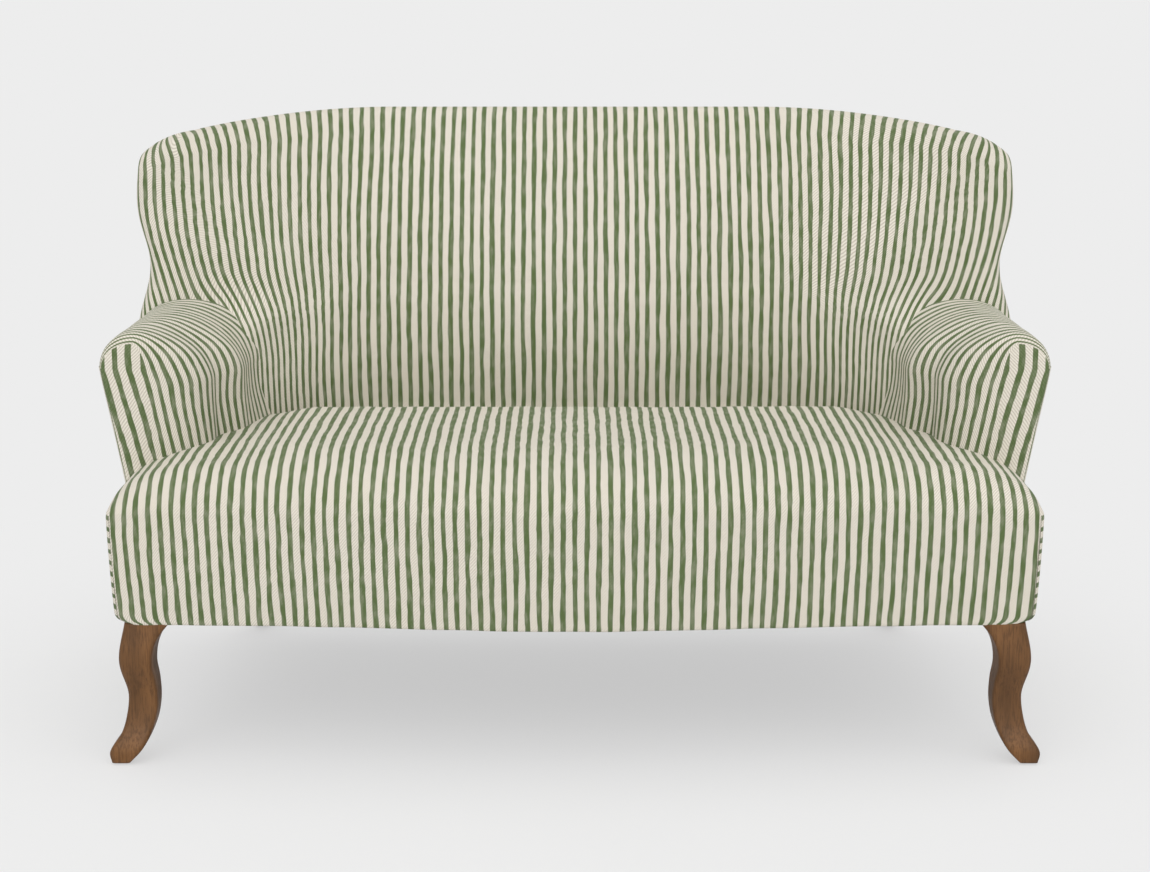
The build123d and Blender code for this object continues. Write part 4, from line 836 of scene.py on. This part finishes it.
# ---- arms
ARM_EDGE = 0.015  # rounding of the arm's front edge
ARM_RUN = 0.275  # from the front to where the arm's top meets the wing
ARM_RISE = 0.084  # height of the rounded top over the arm's level, at the front
REAR_RISE = 0.101  # and at the wing
TOP_FRONT = 0.694  # x of the arm's highest line at the front
TOP_REAR = 0.660  # and at the wing
DOME_POWER = 1.14  # fullness of the inner side of the rounded top
DOME_SPLIT = 0.55  # share of its columns on that side
OUTER_LEVEL = 0.600  # height at which the outer side starts to round over
OUTER_RISE = OUTER_LEVEL - ARM_LEVEL
EDGE_SHARE = 0.3  # share of the front edge's rounding on the outer side
EDGE_IN = ARM_EDGE * EDGE_SHARE
INNER_LEAN = 0.015  # how far the inner wall leans out beside the back's corner
WALL_EASE = 1.14  # cloth eased into each length of the arm, beside the seat
TOP_EASE = 0.96  # and over the arm's top
FACING_CLOTH = 0.060  # cloth's measure where the facing turns into the inside arm
FACING_STRETCH = 1.22  # how much the facing's cloth is stretched across
FACING_FOOT = 0.36  # lower edge of the facing, behind the seat
FACING_CROWN = 0.0035
STRIPE_LEAN = 0.20  # how far the arm's stripes run back for each unit down
SIDE_STRAIGHT = 0.25  # share of the outside arm's columns before its rear corner
SIDE_TURN = 0.70  # how much of the quarter turn it takes round that corner
SIDE_SWELL = 0.0035  # swell of the outside arm over the frame's rail
RAIL_Z = 0.400


def arm_lean(depth, z):
    """How far the arm's inner wall stands outwards at height z, beside the back's corner."""
    return INNER_LEAN * smooth((depth - 0.30) / 0.11) * unit((z - 0.475) / 0.095)


def arm_section(depth, turn, inset):
    """Rounded top of the arm at a depth: turn runs from 0 at its inner to 1 at its outer side."""
    back = (depth - ARM_FRONT) / ARM_RUN
    inner = arm_inner_x(depth) + arm_lean(depth, ARM_LEVEL) + inset
    top = mix(TOP_FRONT, TOP_REAR, back)
    outer = outer_x(OUTER_LEVEL) - inset * EDGE_SHARE
    rise = mix(ARM_RISE, REAR_RISE, unit(back)) - inset
    first = unit(turn / DOME_SPLIT) * pi / 2
    second = unit((turn - DOME_SPLIT) / (1 - DOME_SPLIT)) * pi / 2
    inside = turn < DOME_SPLIT
    near = top - (top - inner) * np.cos(first) ** DOME_POWER
    far = top + (outer - top) * np.sin(second)
    low = ARM_LEVEL + rise * np.sin(first) ** DOME_POWER
    high = OUTER_LEVEL + (rise - OUTER_RISE) * np.cos(second)
    return np.where(inside, near, far), np.where(inside, low, high)


def arm_shell():
    """The arm's cover: a grid from the front edge back into the corner, and from the seat up the
    inside and over the top to the outer side. Gives x, depth and height."""
    edge = ARM_FRONT + ARM_EDGE * (1 - np.cos(np.linspace(0, pi / 2, 9)))
    run = np.concatenate([edge, np.linspace(edge[-1], 0.60, 110)[1:]])[None, :]
    inset = rounding(ARM_FRONT + ARM_EDGE - run, ARM_EDGE)
    side = np.linspace(ROLL_Z, ARM_LEVEL, 40)[:-1, None]
    dome_x, dome_z = arm_section(run, np.linspace(0, 1, 70)[:, None], inset)
    wall_x = arm_inner_x(run) + inset + arm_lean(run, side)
    x = np.concatenate([wall_x, dome_x])
    z = np.concatenate([side + 0 * run, dome_z])
    return x, run + 0 * x, z


def stripe_lean(z):
    """How far the arm's stripes have run back at height z."""
    return STRIPE_LEAN * np.clip(0.60 - z, 0, 0.3)


def arm_measure(x, depth, z, points):
    """The cloth's measure on the arm: along it in plan, more where it is eased in, and over it."""
    plan = np.cumsum(np.hypot(np.diff(x[0]), np.diff(depth[0])))
    plan = np.concatenate([[0], plan])[None, :]
    ease = mix(WALL_EASE, TOP_EASE, smooth((z - 0.52) / 0.12))
    return cloth_map(FACING_CLOTH + ease * plan - stripe_lean(z), run_lengths(points, 0))


def facing_points(sign):
    """The flat front of the arm, slightly crowned, inside the arm's front edge."""
    rise = ARM_RISE - ARM_EDGE
    top, outer = TOP_FRONT, outer_x(OUTER_LEVEL) - EDGE_IN
    inner = arm_inner_x(ARM_FRONT) + ARM_EDGE
    turn = np.linspace(0, pi / 2, 44)[1:]
    wall = np.linspace(FACING_FOOT, ARM_LEVEL, 30)
    level = np.concatenate([wall, ARM_LEVEL + rise * np.sin(turn) ** DOME_POWER])[:, None]
    round_x = top - (top - inner) * np.cos(turn) ** DOME_POWER
    near = np.concatenate([np.full(len(wall), inner), round_x])[:, None]
    cosine = unit((level - OUTER_LEVEL) / (rise - OUTER_RISE))
    dome = top + (outer - top) * np.sqrt(unit(1 - cosine**2))
    straight = outer_x(np.minimum(level, OUTER_LEVEL)) - EDGE_IN
    away = np.where(level > OUTER_LEVEL, dome, straight)
    share = np.linspace(0, 1, 40)[None, :]
    wide = mix(near, away, share)
    under_top = unit((ARM_LEVEL + rise + 0.0004 - level) / 0.05)
    crown = FACING_CROWN * np.sin(pi * share) ** 0.7 * under_top**0.7
    u = FACING_CLOTH - (wide - inner) / FACING_STRETCH - stripe_lean(level)
    return at_depth(sign * wide, ARM_FRONT - crown, level), cloth_map(u, level)


def outside_arm_points(sign):
    """The outside arm, from behind the front edge round to the rear corner."""
    z = np.linspace(PANEL_FOOT, 0.602, 60)[:, None]
    run = np.linspace(0, 1, 90)[None, :]
    turned = unit((run - SIDE_STRAIGHT) / (1 - SIDE_STRAIGHT)) * SIDE_TURN
    x, corner_d = outer_point(pi / 2 * (1 - turned), corner_power(z), z)
    straight_d = mix(ARM_FRONT, CORNER_DEPTH, unit(run / SIDE_STRAIGHT))
    depth = np.where(run < SIDE_STRAIGHT, straight_d, corner_d)
    x = x - EDGE_IN * (1 - unit((depth - ARM_FRONT) / 0.006)) ** 2
    swell = SIDE_SWELL * np.exp(-(((z - RAIL_Z) / 0.055) ** 2))
    x = x + swell * smooth((depth - 0.185) / 0.04)
    panel = at_depth(sign * x, depth, z)
    return panel, cloth_map(run_lengths(panel, 1), z)


class SetteeArms(bpy.types.Operator):
    """Rolled arms with their facings and outside panels"""

    bl_idname = "settee.arms"
    bl_label = "Arms"

    def execute(self, context):
        form = context.scene.settee_form
        for word, sign in SIDES:
            x, depth, z = arm_shell()
            swell = ripple(depth, z + x, 21, 0.22) * form.unevenness
            points = at_depth(sign * x, depth, z + swell * smooth((z - 0.56) / 0.05))
            measure = arm_measure(x, depth, z, points)
            nodes = [f"{word}_inside_arm_cover", f"{word}_arm_foam"]
            cover(f"{word}_arm", points, measure, nodes, sign > 0, fill=0.95)
            nodes = [f"{word}_arm_facing", f"{word}_facing_pad"]
            cover(f"{word}_facing", *facing_points(sign), nodes, sign < 0, fill=0.95)
            nodes = [f"{word}_outside_arm_cover"]
            cover(f"{word}_outside_arm", *outside_arm_points(sign), nodes, sign < 0)
        return {"FINISHED"}


# ---- legs
LEG_FOOT = 0.0031  # where the wood starts, over the glide
LEG_TOP = 0.2258
# outlines of a front leg by height: its outer and inner sides, its front and its back
OUTER_SIDE = ([0.003, 0.017, 0.050, 0.078, 0.103, 0.168, 0.226],
              [0.7215, 0.7245, 0.7060, 0.6985, 0.6955, 0.7060, 0.6960])
INNER_SIDE = ([0.003, 0.022, 0.055, 0.088, 0.127, 0.157, 0.202, 0.226],
              [0.6930, 0.6750, 0.6580, 0.6510, 0.6520, 0.6560, 0.6440, 0.6250])
DEPTH_HEIGHTS = [0.003, 0.020, 0.060, 0.100, 0.165, 0.226]
NEAR_SIDE = (DEPTH_HEIGHTS, [0.028, 0.027, 0.041, 0.046, 0.034, 0.040])
FAR_SIDE = (DEPTH_HEIGHTS, [0.056, 0.060, 0.082, 0.091, 0.098, 0.104])
# a rear leg at its top and its foot: thickness, x and depth
REAR_SIZE = (0.050, 0.030)
REAR_X = (0.6055, 0.596)
REAR_DEPTH = (0.632, 0.755)
REAR_SWEEP = 1.25  # how much of the rake lies near the foot


def rounded_square(left, right, near, far, columns=40, power=9.0):
    """Ring of points round a rounded rectangle at each height, as a superellipse."""
    turn = np.linspace(0, 2 * pi, columns, endpoint=False)[None, :]
    cos, sin = np.cos(turn), np.sin(turn)
    size = (np.abs(cos) ** power + np.abs(sin) ** power) ** (-1 / power)
    x = (left + right) / 2 + (right - left) / 2 * cos * size
    d = (near + far) / 2 + (far - near) / 2 * sin * size
    return x, d


def smooth_table(z, heights, values):
    """A smooth curve through a leg's few drawn points, by height."""
    heights, values = np.asarray(heights), np.asarray(values)
    slope = np.gradient(values, heights)
    at = np.clip(np.searchsorted(heights, z) - 1, 0, len(heights) - 2)
    gap = heights[at + 1] - heights[at]
    t = (z - heights[at]) / gap
    return cubic(values[at], slope[at] * gap, values[at + 1], slope[at + 1] * gap, t)


class SetteeLegs(bpy.types.Operator):
    """Sawn cabriole front legs and raked rear legs"""

    bl_idname = "settee.legs"
    bl_label = "Legs"

    def execute(self, context):
        wood = polished_wood("stained hardwood", tuple(context.scene.settee_form.leg_colour))
        z = np.linspace(LEG_FOOT, LEG_TOP, 70)[:, None]
        sides = [smooth_table(z, *side) for side in (INNER_SIDE, OUTER_SIDE, NEAR_SIDE, FAR_SIDE)]
        down = 1 - (z - 0.003) / 0.223
        half = mix(*REAR_SIZE, down) / 2
        x = mix(*REAR_X, down**REAR_SWEEP)
        depth = mix(*REAR_DEPTH, down**REAR_SWEEP)
        rings = {
            "front": rounded_square(*sides),
            "rear": rounded_square(x - half, x + half, depth - half, depth + half),
        }
        for word, sign in SIDES:
            for end, (ring_x, ring_d) in rings.items():
                points = at_depth(sign * ring_x, ring_d, z)
                name = f"{end}_{word}_leg"
                leg = grid_mesh(f"{name}_wood", points, closed=True, ends=True, flip=sign < 0)
                finish_piece(leg, wood, [name])
        return {"FINISHED"}


class SetteeUnderside(bpy.types.Operator):
    """Dust cloth under the frame, the glides under the feet and the linings inside"""

    bl_idname = "settee.underside"
    bl_label = "Underside"

    def execute(self, context):
        lining = plain_cloth("inner cloth", linear(150, 130, 100), 600.0)
        shown = {
            "dust_cover": plain_cloth("dust cloth", linear(60, 58, 56), 900.0),
            "leg_glides": moulded("glide plastic", linear(72, 62, 54)),
            "seat_hessian": lining,
            "back_hessian": lining,
            "back_webbing": lining,
        }
        for node, material in shown.items():
            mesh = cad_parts[node].data
            mesh.materials.clear()
            mesh.materials.append(material)
        return {"FINISHED"}


# ---- stage
BACKDROP = linear(237, 237, 237)
FLOOR_HALF = 30.0
FAR_START, FAR_END = 0.62, 1.55  # where the floor passes into the backdrop, from its middle
NEAR_GLOW = 0.60  # painted light: share of the backdrop's brightness with which the floor glows for the camera in its middle, thinning the settee's shadow
SKY_LIGHT = 0.66  # share of the backdrop's brightness that lights the settee
CAMERA_BACK = 2.912  # from the seat's front to the camera
CAMERA_HEIGHT = 1.149
CAMERA_PITCH = 12.0  # looking down, in degrees
CAMERA_LENS = 62.6  # in millimetres, on a 36 mm sensor


def sun_light(name, direction, softness, strength):
    """An even soft light from one side, its softness as an angle in degrees."""
    data = bpy.data.lights.new(name, "SUN")
    data.angle = radians(softness)
    data.energy = strength
    light = bpy.data.objects.new(name, data)
    bpy.context.collection.objects.link(light)
    light.rotation_euler = Vector(direction).to_track_quat("-Z", "Y").to_euler()


def studio_floor(colour):
    """Pale paint that, far off, passes into the backdrop's own brightness for the camera.

    In its middle it already glows for the camera with part of that brightness: painted light
    that thins the settee's shadow.
    """
    paint, n, shader = new_material("studio floor")
    place = n.object_place()
    mottled = n.blend(n.spread(n.noise(place, 1.5, 2.0), 0.3, 0.7), colour, tinted(colour, 0.985))
    n.fill(shader, {"Base Color": mottled, "Roughness": 0.9, "Specular IOR Level": 0.1})
    wide = n.scaled(place, (0.85, 1.0, 1.0))
    reach = n.new("ShaderNodeVectorMath", {0: wide}, operation="LENGTH")
    path = n.new("ShaderNodeLightPath")
    # painted light: the floor glows for the camera under the settee too, which thins its cast
    # shadow
    far = n.spread(reach.outputs["Value"], FAR_START, FAR_END, NEAR_GLOW, 1.0)
    seen = n.math("MULTIPLY", far, path.outputs["Is Camera Ray"])
    glow = n.new("ShaderNodeEmission", {"Color": (*BACKDROP, 1)})
    both = n.new("ShaderNodeMixShader", {0: seen, 1: shader.outputs[0], 2: glow.outputs[0]})
    n.fill(paint.node_tree.nodes["Material Output"], {"Surface": both.outputs[0]})
    return paint


def studio_world():
    """Backdrop at its full brightness where it is seen, and dimmer as a light."""
    world = bpy.data.worlds.new("studio")
    world.use_nodes = True
    w = Nodes(world.node_tree)
    back = world.node_tree.nodes["Background"]
    path = w.new("ShaderNodeLightPath")
    seen = w.math("MAXIMUM", path.outputs["Is Camera Ray"], path.outputs["Is Glossy Ray"])
    seen = w.math("MAXIMUM", seen, path.outputs["Is Transmission Ray"])
    level = w.new("ShaderNodeMapRange", {"Value": seen, "To Min": SKY_LIGHT, "To Max": 1.0})
    w.fill(back, {"Color": (*BACKDROP, 1), "Strength": level.outputs["Result"]})
    return world


class SetteeStage(bpy.types.Operator):
    """Pale floor, soft lights and the camera"""

    bl_idname = "settee.stage"
    bl_label = "Studio"

    def execute(self, context):
        scene = context.scene
        floor_mesh = bpy.data.meshes.new("floor")
        square = ((-1, -1), (1, -1), (1, 1), (-1, 1))
        corners = [(x * FLOOR_HALF, y * FLOOR_HALF, 0) for x, y in square]
        floor_mesh.from_pydata(corners, [], [(0, 1, 2, 3)])
        floor = bpy.data.objects.new("floor", floor_mesh)
        context.collection.objects.link(floor)
        floor_mesh.materials.append(studio_floor(tuple(scene.settee_form.floor_colour)))
        sun_light("overhead", (-0.10, 0.42, -1.0), 100, 1.20)
        sun_light("front", (0.16, 1.0, -0.52), 60, 0.66)
        scene.world = studio_world()
        data = bpy.data.cameras.new("camera")
        data.lens = CAMERA_LENS
        data.sensor_width = 36.0
        camera = bpy.data.objects.new("camera", data)
        context.collection.objects.link(camera)
        camera.location = (0.0, FRONT_Y - CAMERA_BACK, CAMERA_HEIGHT)
        camera.rotation_euler = (radians(90.0 - CAMERA_PITCH), 0, 0)
        scene.camera = camera
        scene.view_settings.view_transform = "Standard"
        return {"FINISHED"}


# ---- panel and start
STEPS = (SetteeSeat, SetteeBack, SetteeArms, SetteeLegs, SetteeUnderside, SetteeStage)


class SetteePanel(bpy.types.Panel):
    """The settee's settings and building steps"""

    bl_idname = "VIEW3D_PT_settee"
    bl_label = "Settee"
    bl_space_type = "VIEW_3D"
    bl_region_type = "UI"
    bl_category = "Settee"

    def draw(self, context):
        for group in (context.scene.settee_cloth, context.scene.settee_form):
            for key in group.__annotations__:
                self.layout.prop(group, key)
        for step in STEPS:
            self.layout.operator(step.bl_idname)


CLASSES = (SetteeCloth, SetteeForm, *STEPS, SetteePanel)


def register():
    for cls in CLASSES:
        bpy.utils.register_class(cls)
    bpy.types.Scene.settee_cloth = bpy.props.PointerProperty(type=SetteeCloth)
    bpy.types.Scene.settee_form = bpy.props.PointerProperty(type=SetteeForm)


def unregister():
    del bpy.types.Scene.settee_form
    del bpy.types.Scene.settee_cloth
    for cls in reversed(CLASSES):
        bpy.utils.unregister_class(cls)


def main():
    """Registers the add-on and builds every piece."""
    register()
    bpy.ops.settee.seat()
    bpy.ops.settee.back()
    bpy.ops.settee.arms()
    bpy.ops.settee.legs()
    bpy.ops.settee.underside()
    bpy.ops.settee.stage()


if __name__ == "__main__":
    main()
